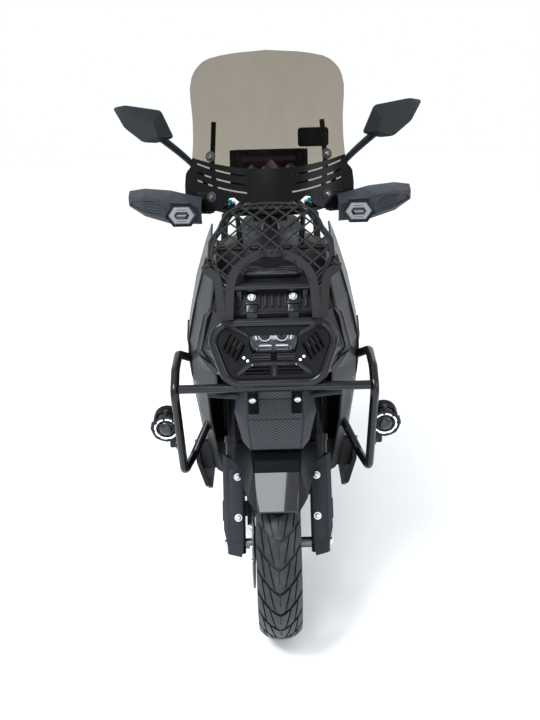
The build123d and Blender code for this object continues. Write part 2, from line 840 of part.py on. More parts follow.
# Tube hoop round the headlamp and the guard plate inside it
HOOP = Plane(origin=(0, -780, 823), x_dir=(1, 0, 0), z_dir=(0, -0.974, 0.225))
HOOP_TOP = (163, 72)
HOOP_LOW = (112, -74)
hoop_points = [
    HOOP.from_local_coords((x, y, 0))
    for x, y in (
        HOOP_TOP,
        HOOP_LOW,
        (-HOOP_LOW[0], HOOP_LOW[1]),
        (-HOOP_TOP[0], HOOP_TOP[1]),
    )
]
HOOP_FOOT = HOOP.from_local_coords((0, HOOP_LOW[1] - 12, -6))
CROSS_X = 231.7
hoop_tube = tube(hoop_points, GUARD_TUBE, 44, close=True)
with BuildPart() as hoop_whole:
    add(hoop_tube)
    add(rod((-CROSS_X, HOOP_FOOT.Y, HOOP_FOOT.Z), (CROSS_X, HOOP_FOOT.Y, HOOP_FOOT.Z), GUARD_TUBE))
    for sign in (-1, 1):
        with BuildSketch(side(sign * 54 - 13)):
            with BuildLine():
                Polyline(
                    (HOOP_FOOT.Y, HOOP_FOOT.Z),
                    (HOOP_FOOT.Y + 14, HOOP_FOOT.Z - 6),
                    (-700, 640),
                    (-720, 636),
                    (HOOP_FOOT.Y - 4, HOOP_FOOT.Z - 6),
                    close=True,
                )
            make_face()
        extrude(amount=26)
        with BuildSketch(side(sign * 50 - 12)):
            with BuildLine():
                Polyline((-765, 886), (-740, 884), (-715, 936), (-723, 942), (-752, 900), close=True)
            make_face()
        extrude(amount=24)
    add(chevron_shell, mode=Mode.SUBTRACT)
    add(nose_fill, mode=Mode.SUBTRACT)
    add(nose_outer, mode=Mode.SUBTRACT)
with BuildPart() as lamp_hoop:
    add(largest(hoop_whole.part))

GUARD_PLATE = [(138, 62), (153, 52), (107, -58), (96, -64)]
with BuildPart() as guard_sheet:
    with BuildSketch(HOOP.offset(-1.5)):
        with BuildLine():
            Polyline(*(GUARD_PLATE + [(-x, y) for x, y in reversed(GUARD_PLATE)]), close=True)
        make_face()
        with BuildLine():
            Polyline((56, 40), (60, 20), (46, -22), (-46, -22), (-60, 20), (-56, 40), close=True)
        make_face(mode=Mode.SUBTRACT)
        for sign in (-1, 1):
            for step in range(4):
                with Locations(Location((sign * (80 + 10 * step), 9 * step), (0, 0, sign * -62))):
                    SlotOverall(44, 6, mode=Mode.SUBTRACT)
            with Locations((sign * 40, -44)):
                Rectangle(62, 20, mode=Mode.SUBTRACT)
    extrude(amount=3)
    add(hoop_tube, mode=Mode.SUBTRACT)
with BuildPart() as lamp_guard:
    add(largest(guard_sheet.part))

# Crash bars and fog lamps
CRASH = [
    (196, -560, 726),
    (243, -650, 778),
    (243, -742, 768),
    (243, HOOP_FOOT.Y, HOOP_FOOT.Z - 10),
    (240, -706, 474),
    (224, -606, 470),
    (172, -520, 560),
]
crash_run = tube(CRASH, GUARD_TUBE, 28)
FOG = Plane(origin=(277, -722, 608), x_dir=(1, 0, 0), z_dir=(0, -0.985, -0.17))
with BuildPart() as crash_whole:
    add(crash_run)
    add(rod((241, -737, 548), (275, -696, 583), 8))
    add(cowl_shell, mode=Mode.SUBTRACT)
    add(lower_shell, mode=Mode.SUBTRACT)
with BuildPart() as crash_bar_left:
    add(largest(crash_whole.part))
with BuildPart(FOG) as fog_block:
    with Locations((0, 0, -30)):
        Cylinder(30, 44)
    for step in range(4):
        with Locations((0, 0, -46 + 9 * step)):
            Cylinder(35, 4)
    with Locations((0, 0, 0)):
        Cylinder(34, 20)
    with Locations((0, 0, 8)):
        Cylinder(28, 20, mode=Mode.SUBTRACT)
with BuildPart() as fog_half:
    add(fog_block.part)
    add(crash_bar_left.part, mode=Mode.SUBTRACT)
with BuildPart(FOG) as lens_half:
    with Locations((0, 0, 2)):
        Cylinder(28 - FIT, 8)
with BuildPart() as crash_bar_right:
    mirror(crash_bar_left.part, about=Plane.YZ)
with BuildPart() as fog_lamps:
    add(fog_half.part)
    mirror(about=Plane.YZ)
with BuildPart() as fog_lenses:
    add(lens_half.part)
    mirror(about=Plane.YZ)

# Front rack and the net over it
RACK_FRONT = Vector(0, -716, 966)
RACK_REAR = Vector(0, -500, 1117)
RACK = Plane(origin=RACK_FRONT, x_dir=(1, 0, 0), z_dir=Vector(1, 0, 0).cross(RACK_REAR - RACK_FRONT))
RACK_LONG = (RACK_REAR - RACK_FRONT).length
rack_points = [
    RACK.from_local_coords((x, y, 0))
    for x, y in (
        (112, 0),
        (152, 70),
        (150, 150),
        (92, RACK_LONG),
        (-92, RACK_LONG),
        (-150, 150),
        (-152, 70),
        (-112, 0),
    )
]
rack_hoop = tube(rack_points, RACK_TUBE, 34, close=True)
cross_left = RACK.from_local_coords((-150, 128, 0))
cross_right = RACK.from_local_coords((150, 128, 0))
with BuildPart() as front_rack:
    add(rack_hoop)
    add(rod(cross_left, cross_right, RACK_TUBE - 2))
    for x, along in ((80, 2), (-80, 2), (86, RACK_LONG - 6), (-86, RACK_LONG - 6)):
        foot = RACK.from_local_coords((x, along, 0))
        add(rod(foot, (foot.X * 0.9, foot.Y + 10, foot.Z - 112), RACK_TUBE - 1))
    add(nose_fill, mode=Mode.SUBTRACT)

NET = [(98, 2), (144, 68), (142, 148), (88, RACK_LONG - 2)]
with BuildPart() as cargo_net:
    with BuildSketch(RACK.offset(RACK_TUBE - 1.8)):
        with BuildLine():
            Polyline(*(NET + [(-x, y) for x, y in reversed(NET)]), close=True)
        make_face()
        for high in range(4):
            with Locations((0, 44 + 58 * high)):
                with GridLocations(56, 1, 4 if high in (1, 2) else 3, 1):
                    Rectangle(34, 34, rotation=45, mode=Mode.SUBTRACT)
    extrude(amount=3)
    add(front_rack.part, mode=Mode.SUBTRACT)

# Leg shield, wheel well, tunnel and floor
LEG_SHIELD = [
    {"z": 352, "mid": (95, -318), "edge": (178, -404)},
    {"z": 600, "mid": (110, -300), "edge": (224, -404)},
    {"z": 800, "mid": (120, -264), "edge": (228, -390)},
    {"z": 985, "mid": (110, -222), "edge": (180, -318)},
]


def shield_section(row):
    mx, my = row["mid"]
    ex, ey = row["edge"]
    return [
        (-ex, ey),
        (-mx, my),
        (mx, my),
        (ex, ey),
        (ex - 6, ey),
        (mx - 2, my - WALL),
        (-mx + 2, my - WALL),
        (-ex + 6, ey),
    ]


shield_shell = skin([(level(row["z"]), shield_section(row)) for row in LEG_SHIELD])
with BuildPart() as leg_shield:
    add(shield_shell)
    add(cowl_shell, mode=Mode.SUBTRACT)
    add(lower_shell, mode=Mode.SUBTRACT)
    add(side_cowl_right.part, mode=Mode.SUBTRACT)
    add(lower_cowl_right.part, mode=Mode.SUBTRACT)

WELL = [(-404, 236), (-404, 520), (-370, 640), (-370, 700)]
WELL += [(-374, 700), (-374, 642), (-408, 522), (-408, 236)]
with BuildPart() as wheel_well:
    with BuildSketch(side(-150)):
        with BuildLine():
            Polyline(*WELL, close=True)
        make_face()
    extrude(amount=300)
    add(rod((0, -404, 420), (0, -353, 420), 14))
    add(frame.part, mode=Mode.SUBTRACT)

TUNNEL = [
    {"y": -306, "top": 66, "high": 640, "edge": 92, "low": 346},
    {"y": -150, "top": 66, "high": 566, "edge": 92, "low": 346},
    {"y": AFT - 60, "top": 72, "high": 600, "edge": 94, "low": 346},
    {"y": AFT + 20, "top": 84, "high": 680, "edge": 104, "low": 346},
]
tunnel_shell = skin([(station(row["y"]), hat(row, WALL)) for row in TUNNEL])
with BuildPart() as tunnel_whole:
    add(tunnel_shell)
    add(shield_shell, mode=Mode.SUBTRACT)
with BuildPart() as tunnel:
    add(largest(tunnel_whole.part))

BOARD = [(-458, 442), (-448, 446), (-404, 346)]
BOARD += aft([(60, 334), (150, 396), (150, 384), (64, 322)])
BOARD += [(-410, 334)]
SKIRT = [
    {"y": -450, "high": 446, "low": 372, "foot": 232},
    {"y": -404, "high": 350, "low": 272, "foot": 214},
    {"y": -376, "high": 348, "low": 250, "foot": 206},
    {"y": AFT + 60, "high": 338, "low": 250, "foot": 206},
    {"y": AFT + 150, "high": 400, "low": 330, "foot": 216},
]
SKIRT_X = 234
SKIRT_WALL = 12


def skirt_section(row):
    return [
        (SKIRT_X, row["high"]),
        (SKIRT_X - SKIRT_WALL, row["high"]),
        (row["foot"] - SKIRT_WALL, row["low"]),
        (row["foot"], row["low"]),
    ]


skirt_strip = skin([(station(row["y"]), skirt_section(row)) for row in SKIRT])
with BuildPart() as board_whole:
    with BuildSketch(side(104.3)):
        with BuildLine():
            Polyline(*BOARD, close=True)
        make_face()
    extrude(amount=122)
    add(skirt_strip)
    add(lower_shell, mode=Mode.SUBTRACT)
    add(shield_shell, mode=Mode.SUBTRACT)
    add(tunnel_shell, mode=Mode.SUBTRACT)
    add(wheel_well.part, mode=Mode.SUBTRACT)
with BuildPart() as floorboard_left:
    add(largest(board_whole.part))
with BuildPart() as floorboard_right:
    mirror(floorboard_left.part, about=Plane.YZ)

PAN = [
    {"y": -392, "half": 96, "low": 236, "wide": 104, "high": 262},
    {"y": -300, "half": 100, "low": 190, "wide": 130, "high": 240},
    {"y": AFT + 90, "half": 100, "low": 190, "wide": 130, "high": 240},
]


def pan_section(row):
    return [
        (-row["wide"], row["high"]),
        (-row["half"], row["low"]),
        (row["half"], row["low"]),
        (row["wide"], row["high"]),
        (row["wide"] - 5, row["high"]),
        (row["half"] - 3, row["low"] + WALL),
        (-row["half"] + 3, row["low"] + WALL),
        (-row["wide"] + 5, row["high"]),
    ]


with BuildPart() as belly_pan:
    add(skin([(station(row["y"]), pan_section(row)) for row in PAN]))
    for y in (-150, AFT + 60):
        add(rod((0, y, 192), (0, y, 232), 12))
    add(frame.part, mode=Mode.SUBTRACT)

# Seat, storage and rear panels
SEAT_LOW = 703
SEAT_SLOPE = 0.13
SEAT = [
    {"y": -46, "top": 66, "high": 66, "base": 92},
    {"y": 60, "top": 104, "high": 86, "base": 138},
    {"y": 250, "top": 132, "high": 74, "base": 160},
    {"y": 330, "top": 122, "high": 126, "base": 158},
    {"y": 560, "top": 104, "high": 116, "base": 140},
    {"y": 690, "top": 70, "high": 84, "base": 104},
]


def seat_line(y):
    return SEAT_LOW + (y + 66) * SEAT_SLOPE


def seat_section(row):
    low = seat_line(row["y"])
    high = low + row["high"]
    return [
        (-row["base"], low),
        (row["base"], low),
        (row["base"], low + 26),
        (row["top"], high - 8),
        (row["top"] * 0.7, high),
        (-row["top"] * 0.7, high),
        (-row["top"], high - 8),
        (-row["base"], low + 26),
    ]


seat_body = skin([(station(row["y"] + AFT), seat_section(row)) for row in SEAT])
HINGE_PIN = 5
with BuildPart() as seat:
    add(seat_body)
    with BuildSketch(across(SEAT_HINGE_Y, SEAT_HINGE_Z, -24)):
        Circle(10)
        with Locations((12, 6)):
            Rectangle(28, 14)
    extrude(amount=48)
    with BuildSketch(across(SEAT_HINGE_Y, SEAT_HINGE_Z, -60)):
        Circle(HINGE_PIN + FIT)
    extrude(amount=120, mode=Mode.SUBTRACT)

TUB_X = 128 - FRAME_TUBE - FIT
TUB_FRONT = AFT + 24
TUB_REAR = AFT + 440


def tub_profile(inset):
    drop = 8
    return [
        (TUB_FRONT + inset, 504 + inset),
        (TUB_REAR - inset, 504 + inset),
        (TUB_REAR - inset, seat_line(TUB_REAR - AFT) - drop + inset * 5),
        (TUB_FRONT + inset, seat_line(TUB_FRONT - AFT) - drop + inset * 5),
    ]


with BuildPart() as storage_tub:
    with BuildSketch(side(-TUB_X)):
        with BuildLine():
            Polyline(*tub_profile(0), close=True)
        make_face()
    extrude(amount=2 * TUB_X)
    with BuildSketch(side(-TUB_X + WALL)):
        with BuildLine():
            Polyline(*tub_profile(WALL), close=True)
        make_face()
    extrude(amount=2 * (TUB_X - WALL), mode=Mode.SUBTRACT)
    for sign in (-1, 1):
        with BuildSketch(side(sign * 36 - 9)):
            with BuildLine():
                Polyline(
                    (SEAT_HINGE_Y - 10, SEAT_HINGE_Z - 12),
                    (SEAT_HINGE_Y + 10, SEAT_HINGE_Z - 14),
                    (TUB_FRONT + 2, 690),
                    (TUB_FRONT + 2, 660),
                    (SEAT_HINGE_Y, SEAT_HINGE_Z - 30),
                    close=True,
                )
            make_face()
            with Locations((SEAT_HINGE_Y, SEAT_HINGE_Z - 4)):
                Circle(9)
        extrude(amount=18)
    with BuildSketch(across(SEAT_HINGE_Y, SEAT_HINGE_Z, -45)):
        Circle(HINGE_PIN)
    extrude(amount=90)
    add(tunnel_shell, mode=Mode.SUBTRACT)

SIDE_PANEL = [
    {"y": -20, "top": 106, "high": 696, "low_x": 116, "low": 420},
    {"y": 120, "top": 150, "high": 718, "low_x": 176, "low": 420},
    {"y": 300, "top": 164, "high": 742, "low_x": 182, "low": 520},
    {"y": 500, "top": 150, "high": 768, "low_x": 160, "low": 630},
    {"y": 760, "top": 112, "high": 802, "low_x": 114, "low": 720},
]


def panel_section(row):
    return [
        (row["top"], row["high"]),
        (row["low_x"], row["low"]),
        (row["low_x"] - 5, row["low"]),
        (row["top"] - 5, row["high"]),
    ]


panel_shell = skin([(station(row["y"] + AFT), panel_section(row)) for row in SIDE_PANEL])
with BuildPart() as panel_whole:
    add(panel_shell)
    for y, z, x, reach in ((380, 621, 128, 38), (620, 695, 112, 23)):
        with BuildSketch(across(AFT + y, z, x)):
            Circle(9)
        extrude(amount=reach)
    add(frame.part, mode=Mode.SUBTRACT)
    add(tunnel_shell, mode=Mode.SUBTRACT)
    add(floorboard_left.part, mode=Mode.SUBTRACT)
with BuildPart() as side_panel_left:
    add(largest(panel_whole.part))
with BuildPart() as side_panel_right:
    mirror(side_panel_left.part, about=Plane.YZ)

TAIL = [
    {"y": 700, "half": 98, "low": 738, "high": 796},
    {"y": 800, "half": 92, "low": 758, "high": 822},
    {"y": 884, "half": 70, "low": 786, "high": 838},
]


def block(row):
    half = row["half"]
    return [
        (-half, row["low"] + 12),
        (-half + 18, row["low"]),
        (half - 18, row["low"]),
        (half, row["low"] + 12),
        (half, row["high"] - 12),
        (half - 18, row["high"]),
        (-half + 18, row["high"]),
        (-half, row["high"] - 12),
    ]


tail_body = skin([(station(row["y"] + AFT), block(row)) for row in TAIL])
with BuildPart() as tail:
    add(tail_body)
    add(frame.part, mode=Mode.SUBTRACT)
    add(side_panel_left.part, mode=Mode.SUBTRACT)
    add(side_panel_right.part, mode=Mode.SUBTRACT)

with BuildPart() as tail_lamp:
    with BuildSketch(station(AFT + 884)):
        with Locations((0, 812)):
            RectangleRounded(116, 36, 10)
    extrude(amount=-12)

CARRIER = [
    (152, AFT + 458, 742),
    (174, AFT + 490, 782),
    (174, AFT + 640, 862),
    (100, AFT + 880, 893),
]
carrier_points = CARRIER + [(-x, y, z) for x, y, z in reversed(CARRIER)]
carrier_run = tube(carrier_points, GUARD_TUBE, 36)
CARRIER_Y = AFT + 800
CARRIER_Z = 898
with BuildPart() as carrier_whole:
    add(carrier_run)
    with BuildSketch(level(CARRIER_Z)):
        with Locations((0, CARRIER_Y)):
            RectangleRounded(190, 170, 24)
            with GridLocations(100, 110, 2, 2):
                Circle(4.5, mode=Mode.SUBTRACT)
            with GridLocations(48, 1, 2, 1):
                SlotOverall(90, 18, rotation=90, mode=Mode.SUBTRACT)
    extrude(amount=8)
    for x in (-60, 60):
        add(rod((x, CARRIER_Y - 20, 900), (x, CARRIER_Y - 20, 800), 9))
    with Locations((0, CARRIER_Y, CARRIER_Z)):
        with GridLocations(100, 110, 2, 2):
            Cylinder(4.5, 60, mode=Mode.SUBTRACT)
    add(tail_body, mode=Mode.SUBTRACT)
    add(side_panel_left.part, mode=Mode.SUBTRACT)
    add(side_panel_right.part, mode=Mode.SUBTRACT)
    add(frame.part, mode=Mode.SUBTRACT)
with BuildPart() as rear_carrier:
    add(largest(carrier_whole.part))

KINK_Y = AFT + 905
BRACKET = aft([(790, 758), (842, 774)]) + [(KINK_Y, 640), (TAIL_Y, 470), (TAIL_Y - 6, 468)]
BRACKET += aft([(900, 632), (836, 764), (800, 690)])
PLATE = Plane(
    origin=(0, (KINK_Y + TAIL_Y) / 2, 555),
    x_dir=(1, 0, 0),
    z_dir=(0, 170, TAIL_Y - KINK_Y),
)
with BuildPart() as plate_bracket:
    with BuildSketch(side(-62)):
        with BuildLine():
            Polyline(*BRACKET, close=True)
        make_face()
    extrude(amount=124)
    with BuildSketch(PLATE.offset(-40)):
        with Locations((-40, 30), (40, 30)):
            Circle(3.5)
    extrude(amount=80, mode=Mode.SUBTRACT)
    add(tail_body, mode=Mode.SUBTRACT)

with BuildPart() as rear_signals:
    with BuildSketch(side(62)):
        with Locations((AFT + 868, 690)):
            Circle(7)
    extrude(amount=40)
    with BuildSketch(side(98)):
        with Locations((AFT + 872, 690)):
            RectangleRounded(34, 34, 9)
    extrude(amount=58)
    mirror(about=Plane.YZ)

# Rear wheel
REAR_AXIS = Axis((0, REAR_AXLE_Y, REAR_AXLE_Z), (1, 0, 0))
with BuildPart() as rear_tyre:
    with BuildSketch(wheel_plane(REAR_AXLE_Y, REAR_AXLE_Z)):
        with BuildLine():
            Polyline(*tyre_outline(REAR_RADIUS, REAR_WIDTH), close=True)
        make_face()
    revolve(axis=REAR_AXIS)
REAR_HUB = 62
with BuildPart() as rear_rim:
    with BuildSketch(wheel_plane(REAR_AXLE_Y, REAR_AXLE_Z)):
        with BuildLine():
            Polyline(*rim_outline(REAR_RADIUS), close=True)
        make_face()
    revolve(axis=REAR_AXIS)
    with BuildSketch(across(REAR_AXLE_Y, REAR_AXLE_Z)):
        spokes(REAR_RADIUS, 28, 14, 18)
    extrude(amount=12, both=True)
    with BuildSketch(across(REAR_AXLE_Y, REAR_AXLE_Z, -REAR_HUB)):
        Circle(40)
    extrude(amount=2 * REAR_HUB)
    with BuildSketch(across(REAR_AXLE_Y, REAR_AXLE_Z, -100)):
        Circle(10)
    extrude(amount=200, mode=Mode.SUBTRACT)

# Engine unit: crankcase, belt case and rear axle as one block
CASE_X = 84
CRANKCASE = [
    (150, 290), (170, 380), (300, 440), (360, 430), (384, 330),
    (360, 236), (310, 212), (200, 212), (160, 240),
]
BELT_CASE = [
    (190, 300), (200, 372), (270, 410), (400, 400), (640, 352), (716, 320),
    (724, 250), (690, 206), (520, 208), (260, 212), (205, 240),
]
REAR_ARM = [
    (300, 330), (380, 350), (620, 310), (626, 372), (654, 372),
    (660, 300), (690, 264), (650, 232), (380, 250), (300, 280),
]
case_block = plate(side(-CASE_X), aft(CRANKCASE), 2 * CASE_X)
belt_block = plate(side(CASE_X), aft(BELT_CASE), 86)
arm_block = plate(side(-108), aft(REAR_ARM), 24)
with BuildPart() as engine_unit:
    add(case_block)
    add(belt_block)
    add(arm_block)
    with BuildSketch(across(REAR_AXLE_Y, REAR_AXLE_Z, -112)):
        Circle(10 - FIT)
    extrude(amount=230)
    for x in (-100, 66):
        with BuildSketch(side(x)):
            with BuildLine():
                Polyline(
                    (STAND_Y - 26, 226), (STAND_Y - 12, STAND_Z - 12), (STAND_Y + 12, STAND_Z - 12),
                    (STAND_Y + 26, 226), close=True,
                )
            make_face()
        extrude(amount=34)
    with BuildSketch(across(STAND_Y, STAND_Z, -STAND_X - 14)):
        Circle(8)
    extrude(amount=2 * (STAND_X + 14))
    for x in (-104, 76):
        add(rod((x, AFT + 214, 330), (x + 28, AFT + 214, 330), 12))
    add(frame.part, mode=Mode.SUBTRACT)

AIR_BOX = [(400, 400.2), (420, 496), (540, 496), (566, 440), (560, 368.2)]
with BuildPart() as air_box:
    add(plate(side(96), aft(AIR_BOX), 66))

# Muffler on the rider's right
CAN = Plane(origin=(-190, AFT + 470, 292), x_dir=(1, 0, 0), z_dir=(0, 0.985, 0.17))
exhaust_pipe = tube(
    [
        (-60, AFT + 192, 272),
        (-150, AFT + 192, 272),
        (-186, AFT + 330, 258),
        (-190, AFT + 420, 284),
        (-190, AFT + 490, 296),
    ],
    15,
    30,
)
with BuildPart() as muffler:
    with BuildSketch(CAN):
        Ellipse(48, 58)
    extrude(amount=330)
    with BuildSketch(CAN):
        Ellipse(38, 46)
    extrude(amount=342)
    add(exhaust_pipe)
    with BuildSketch(side(-160)):
        with Locations((AFT + 600, 286)):
            Rectangle(60, 24)
    extrude(amount=60)
    add(engine_unit.part, mode=Mode.SUBTRACT)

# Rear shocks
SHOCK_LOW = Vector(0, REAR_AXLE_Y - 10, 362)
SHOCK_HIGH = Vector(0, REAR_AXLE_Y - 60, 662)
shock_dir = (SHOCK_HIGH - SHOCK_LOW).normalized()
shock_long = (SHOCK_HIGH - SHOCK_LOW).length
SHOCK = Plane(origin=SHOCK_LOW + Vector(118, 0, 0), x_dir=(1, 0, 0), z_dir=shock_dir)
with BuildPart(SHOCK) as shock_block:
    with Locations((0, 0, 10)):
        Cylinder(14, shock_long - 20, align=(Align.CENTER, Align.CENTER, Align.MIN))
    for step in range(9):
        with Locations((0, 0, 62 + 20 * step)):
            Cylinder(27, 8)
    with Locations(Location((-6, 0, 0), (0, 90, 0))):
        Cylinder(14, 40)
    with Locations(Location((-6, 0, shock_long), (0, 90, 0))):
        Cylinder(14, 60)
with BuildPart() as shock_half:
    add(shock_block.part)
    add(engine_unit.part, mode=Mode.SUBTRACT)
    add(frame.part, mode=Mode.SUBTRACT)
    add(side_panel_left.part, mode=Mode.SUBTRACT)
with BuildPart() as shocks:
    add(shock_half.part)
    mirror(about=Plane.YZ)
    add(engine_unit.part, mode=Mode.SUBTRACT)

# Centre stand: legs lean a little forward of the pivot
FOOT_Y = STAND_Y - 44
stand_leg = tube(
    [(STAND_X - 12, STAND_Y, STAND_Z), (STAND_X - 12, STAND_Y - 10, STAND_Z - 50), (STAND_X + 30, FOOT_Y, 9)],
    10,
    20,
)
with BuildPart() as centre_stand:
    add(stand_leg)
    with BuildSketch(across(STAND_Y, STAND_Z, STAND_X - 20)):
        Circle(15)
    extrude(amount=26)
    with Locations((STAND_X + 30, FOOT_Y, 5)):
        Box(30, 64, 10)
    mirror(about=Plane.YZ)
    add(rod((-STAND_X + 10, STAND_Y - 12, STAND_Z - 56), (STAND_X - 10, STAND_Y - 12, STAND_Z - 56), 9))
    with BuildSketch(across(STAND_Y, STAND_Z, -200)):
        Circle(8 + FIT)
    extrude(amount=400, mode=Mode.SUBTRACT)

NODES = {
    "frame": frame,
    "nose_panel": nose_panel,
    "nose_top": nose_top,
    "headlamp": headlamp,
    "headlamp_lens": headlamp_lens,
    "lamp_hoop": lamp_hoop,
    "lamp_guard": lamp_guard,
    "crash_bar_left": crash_bar_left,
    "crash_bar_right": crash_bar_right,
    "fog_lamps": fog_lamps,
    "fog_lenses": fog_lenses,
    "front_rack": front_rack,
    "cargo_net": cargo_net,
    "side_cowl_left": side_cowl_left,
    "side_cowl_right": side_cowl_right,
    "lower_cowl_left": lower_cowl_left,
    "lower_cowl_right": lower_cowl_right,
    "chevron_panel": chevron_panel,
    "wheel_well": wheel_well,
    "leg_shield": leg_shield,
    "tunnel": tunnel,
    "floorboard_left": floorboard_left,
    "floorboard_right": floorboard_right,
    "belly_pan": belly_pan,
    "storage_tub": storage_tub,
    "side_panel_left": side_panel_left,
    "side_panel_right": side_panel_right,
    "tail": tail,
    "tail_lamp": tail_lamp,
    "rear_carrier": rear_carrier,
    "plate_bracket": plate_bracket,
    "rear_signals": rear_signals,
    "engine_unit": engine_unit,
    "air_box": air_box,
    "muffler": muffler,
    "shocks": shocks,
    "steering_stem": steering_stem,
    "fork_legs": fork_legs,
    "fork_guards": fork_guards,
    "front_axle": front_axle,
    "brake_caliper": brake_caliper,
    "front_fender": front_fender,
    "handlebar": handlebar,
    "grips": grips,
    "controls": controls,
    "handguards": handguards,
    "guard_lamps": guard_lamps,
    "mirrors": mirrors,
    "mirror_glass": mirror_glass,
    "windscreen": windscreen,
    "screen_stays": screen_stays,
    "instrument": instrument,
    "brake_lines": brake_lines,
    "front_tyre": front_tyre,
    "front_rim": front_rim,
    "brake_disc": brake_disc,
    "rear_tyre": rear_tyre,
    "rear_rim": rear_rim,
    "centre_stand": centre_stand,
    "seat": seat,
}
for name, builder in NODES.items():
    builder.part.label = name
    export_step(builder.part, f"parts/{name}.step")
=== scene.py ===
import json
import math

import bmesh
import bpy
from mathutils import Euler, Matrix, Vector
from mathutils.bvhtree import BVHTree


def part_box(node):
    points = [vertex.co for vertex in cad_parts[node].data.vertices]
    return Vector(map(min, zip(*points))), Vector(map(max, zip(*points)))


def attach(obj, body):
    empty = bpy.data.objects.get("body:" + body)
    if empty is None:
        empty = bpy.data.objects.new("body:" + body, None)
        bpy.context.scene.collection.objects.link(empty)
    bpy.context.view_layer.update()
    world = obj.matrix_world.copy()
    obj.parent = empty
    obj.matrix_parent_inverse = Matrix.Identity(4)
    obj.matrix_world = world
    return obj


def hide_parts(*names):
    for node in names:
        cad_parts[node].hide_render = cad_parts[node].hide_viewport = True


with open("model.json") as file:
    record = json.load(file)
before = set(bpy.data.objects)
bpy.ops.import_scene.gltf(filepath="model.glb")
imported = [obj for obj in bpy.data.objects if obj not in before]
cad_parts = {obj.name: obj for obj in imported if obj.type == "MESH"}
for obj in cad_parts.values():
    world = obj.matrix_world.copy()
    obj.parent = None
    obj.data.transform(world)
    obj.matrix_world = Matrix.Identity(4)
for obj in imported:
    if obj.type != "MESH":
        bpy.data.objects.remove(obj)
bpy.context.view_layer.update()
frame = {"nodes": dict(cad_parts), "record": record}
NODE = frame["nodes"]


# Finishes

class Value:
    """A socket in a finish, with the arithmetic that its patterns use."""

    def __init__(self, finish, socket):
        self.finish = finish
        self.socket = socket

    def math(self, operation, first, second=0.0):
        return self.finish.node("ShaderNodeMath", {"operation": operation}, {0: first, 1: second})

    def __add__(self, other):
        return self.math("ADD", self, other)

    def __radd__(self, other):
        return self.math("ADD", other, self)

    def __sub__(self, other):
        return self.math("SUBTRACT", self, other)

    def __rsub__(self, other):
        return self.math("SUBTRACT", other, self)

    def __mul__(self, other):
        return self.math("MULTIPLY", self, other)

    def __rmul__(self, other):
        return self.math("MULTIPLY", other, self)

    def __truediv__(self, other):
        return self.math("DIVIDE", self, other)

    def __mod__(self, other):
        return self.math("FLOORED_MODULO", self, other)

    def __abs__(self):
        return self.math("ABSOLUTE", self)

    def __lt__(self, other):
        return self.math("LESS_THAN", self, other)

    def __gt__(self, other):
        return self.math("GREATER_THAN", self, other)


class Finish:
    """One material: a Principled shader and the nodes that feed it."""

    def __init__(self, name, color, rough, metal=0.0, **fixed):
        self.material = bpy.data.materials.new(name)
        self.material.use_nodes = True
        self.tree = self.material.node_tree
        self.shader = self.tree.nodes["Principled BSDF"]
        self.color = (*color, 1.0)
        self.put("Base Color", self.color)
        self.put("Roughness", rough)
        self.put("Metallic", metal)
        for key, value in fixed.items():
            self.put(key.replace("_", " ").title().replace("Ior", "IOR"), value)
        self.rough = rough

    def node(self, kind, settings=None, sockets=None, out=0):
        made = self.tree.nodes.new(kind)
        for key, value in (settings or {}).items():
            if key == "stops":
                ramp = made.color_ramp.elements
                while len(ramp) < len(value):
                    ramp.new(1.0)
                for stop, (place, tone) in zip(ramp, value):
                    stop.position = place
                    stop.color = tone
            else:
                setattr(made, key, value)
        for key, value in (sockets or {}).items():
            if isinstance(value, Value):
                self.tree.links.new(value.socket, made.inputs[key])
            else:
                made.inputs[key].default_value = value
        return Value(self, made.outputs[out])

    def put(self, name, value):
        if isinstance(value, Value):
            self.tree.links.new(value.socket, self.shader.inputs[name])
        else:
            self.shader.inputs[name].default_value = value

    def place(self, scale=(1, 1, 1), turn=(0, 0, 0), shift=(0, 0, 0)):
        spot = self.node("ShaderNodeTexCoord", out="Object")
        return self.node(
            "ShaderNodeMapping",
            {},
            {"Vector": spot, "Scale": scale, "Rotation": turn, "Location": shift},
        )

    def axes(self, vector):
        return [self.node("ShaderNodeSeparateXYZ", {}, {0: vector}, out=side) for side in "XYZ"]

    def noise(self, scale, detail=3.0, rough=0.5, vector=None):
        return self.node(
            "ShaderNodeTexNoise",
            {},
            {"Vector": vector or self.place(), "Scale": scale, "Detail": detail, "Roughness": rough},
        )

    def cells(self, scale, feature="F1", vector=None):
        return self.node(
            "ShaderNodeTexVoronoi",
            {"feature": feature},
            {"Vector": vector or self.place(), "Scale": scale},
            out="Distance",
        )

    def spread(self, value, low, high, to_low, to_high):
        return self.node(
            "ShaderNodeMapRange",
            {"clamp": True},
            {"Value": value, "From Min": low, "From Max": high, "To Min": to_low, "To Max": to_high},
        )

    def blend(self, mask, first, second):
        return self.node(
            "ShaderNodeMix",
            {"data_type": "RGBA", "clamp_factor": True},
            {"Factor": mask, 6: first, 7: second},
            out=2,
        )

    def bump(self, height, strength, depth, over=None):
        sockets = {"Height": height, "Strength": strength, "Distance": depth}
        if over is not None:
            sockets["Normal"] = over
        return self.node("ShaderNodeBump", {}, sockets)

    def see_through(self, tint, cover):
        """Let what is behind show, tinted, wherever cover is under one."""
        film = self.node("ShaderNodeBsdfTransparent", {}, {"Color": tint})
        solid = Value(self, self.shader.outputs[0])
        mixed = self.node("ShaderNodeMixShader", {}, {0: cover, 1: film, 2: solid})
        self.tree.links.new(mixed.socket, self.tree.nodes["Material Output"].inputs["Surface"])

    def up(self):
        normal = self.node("ShaderNodeNewGeometry", out="Normal")
        return self.axes(normal)[2]


def tone(color, k):
    return tuple(min(1.0, c * k) for c in color) + (1.0,)


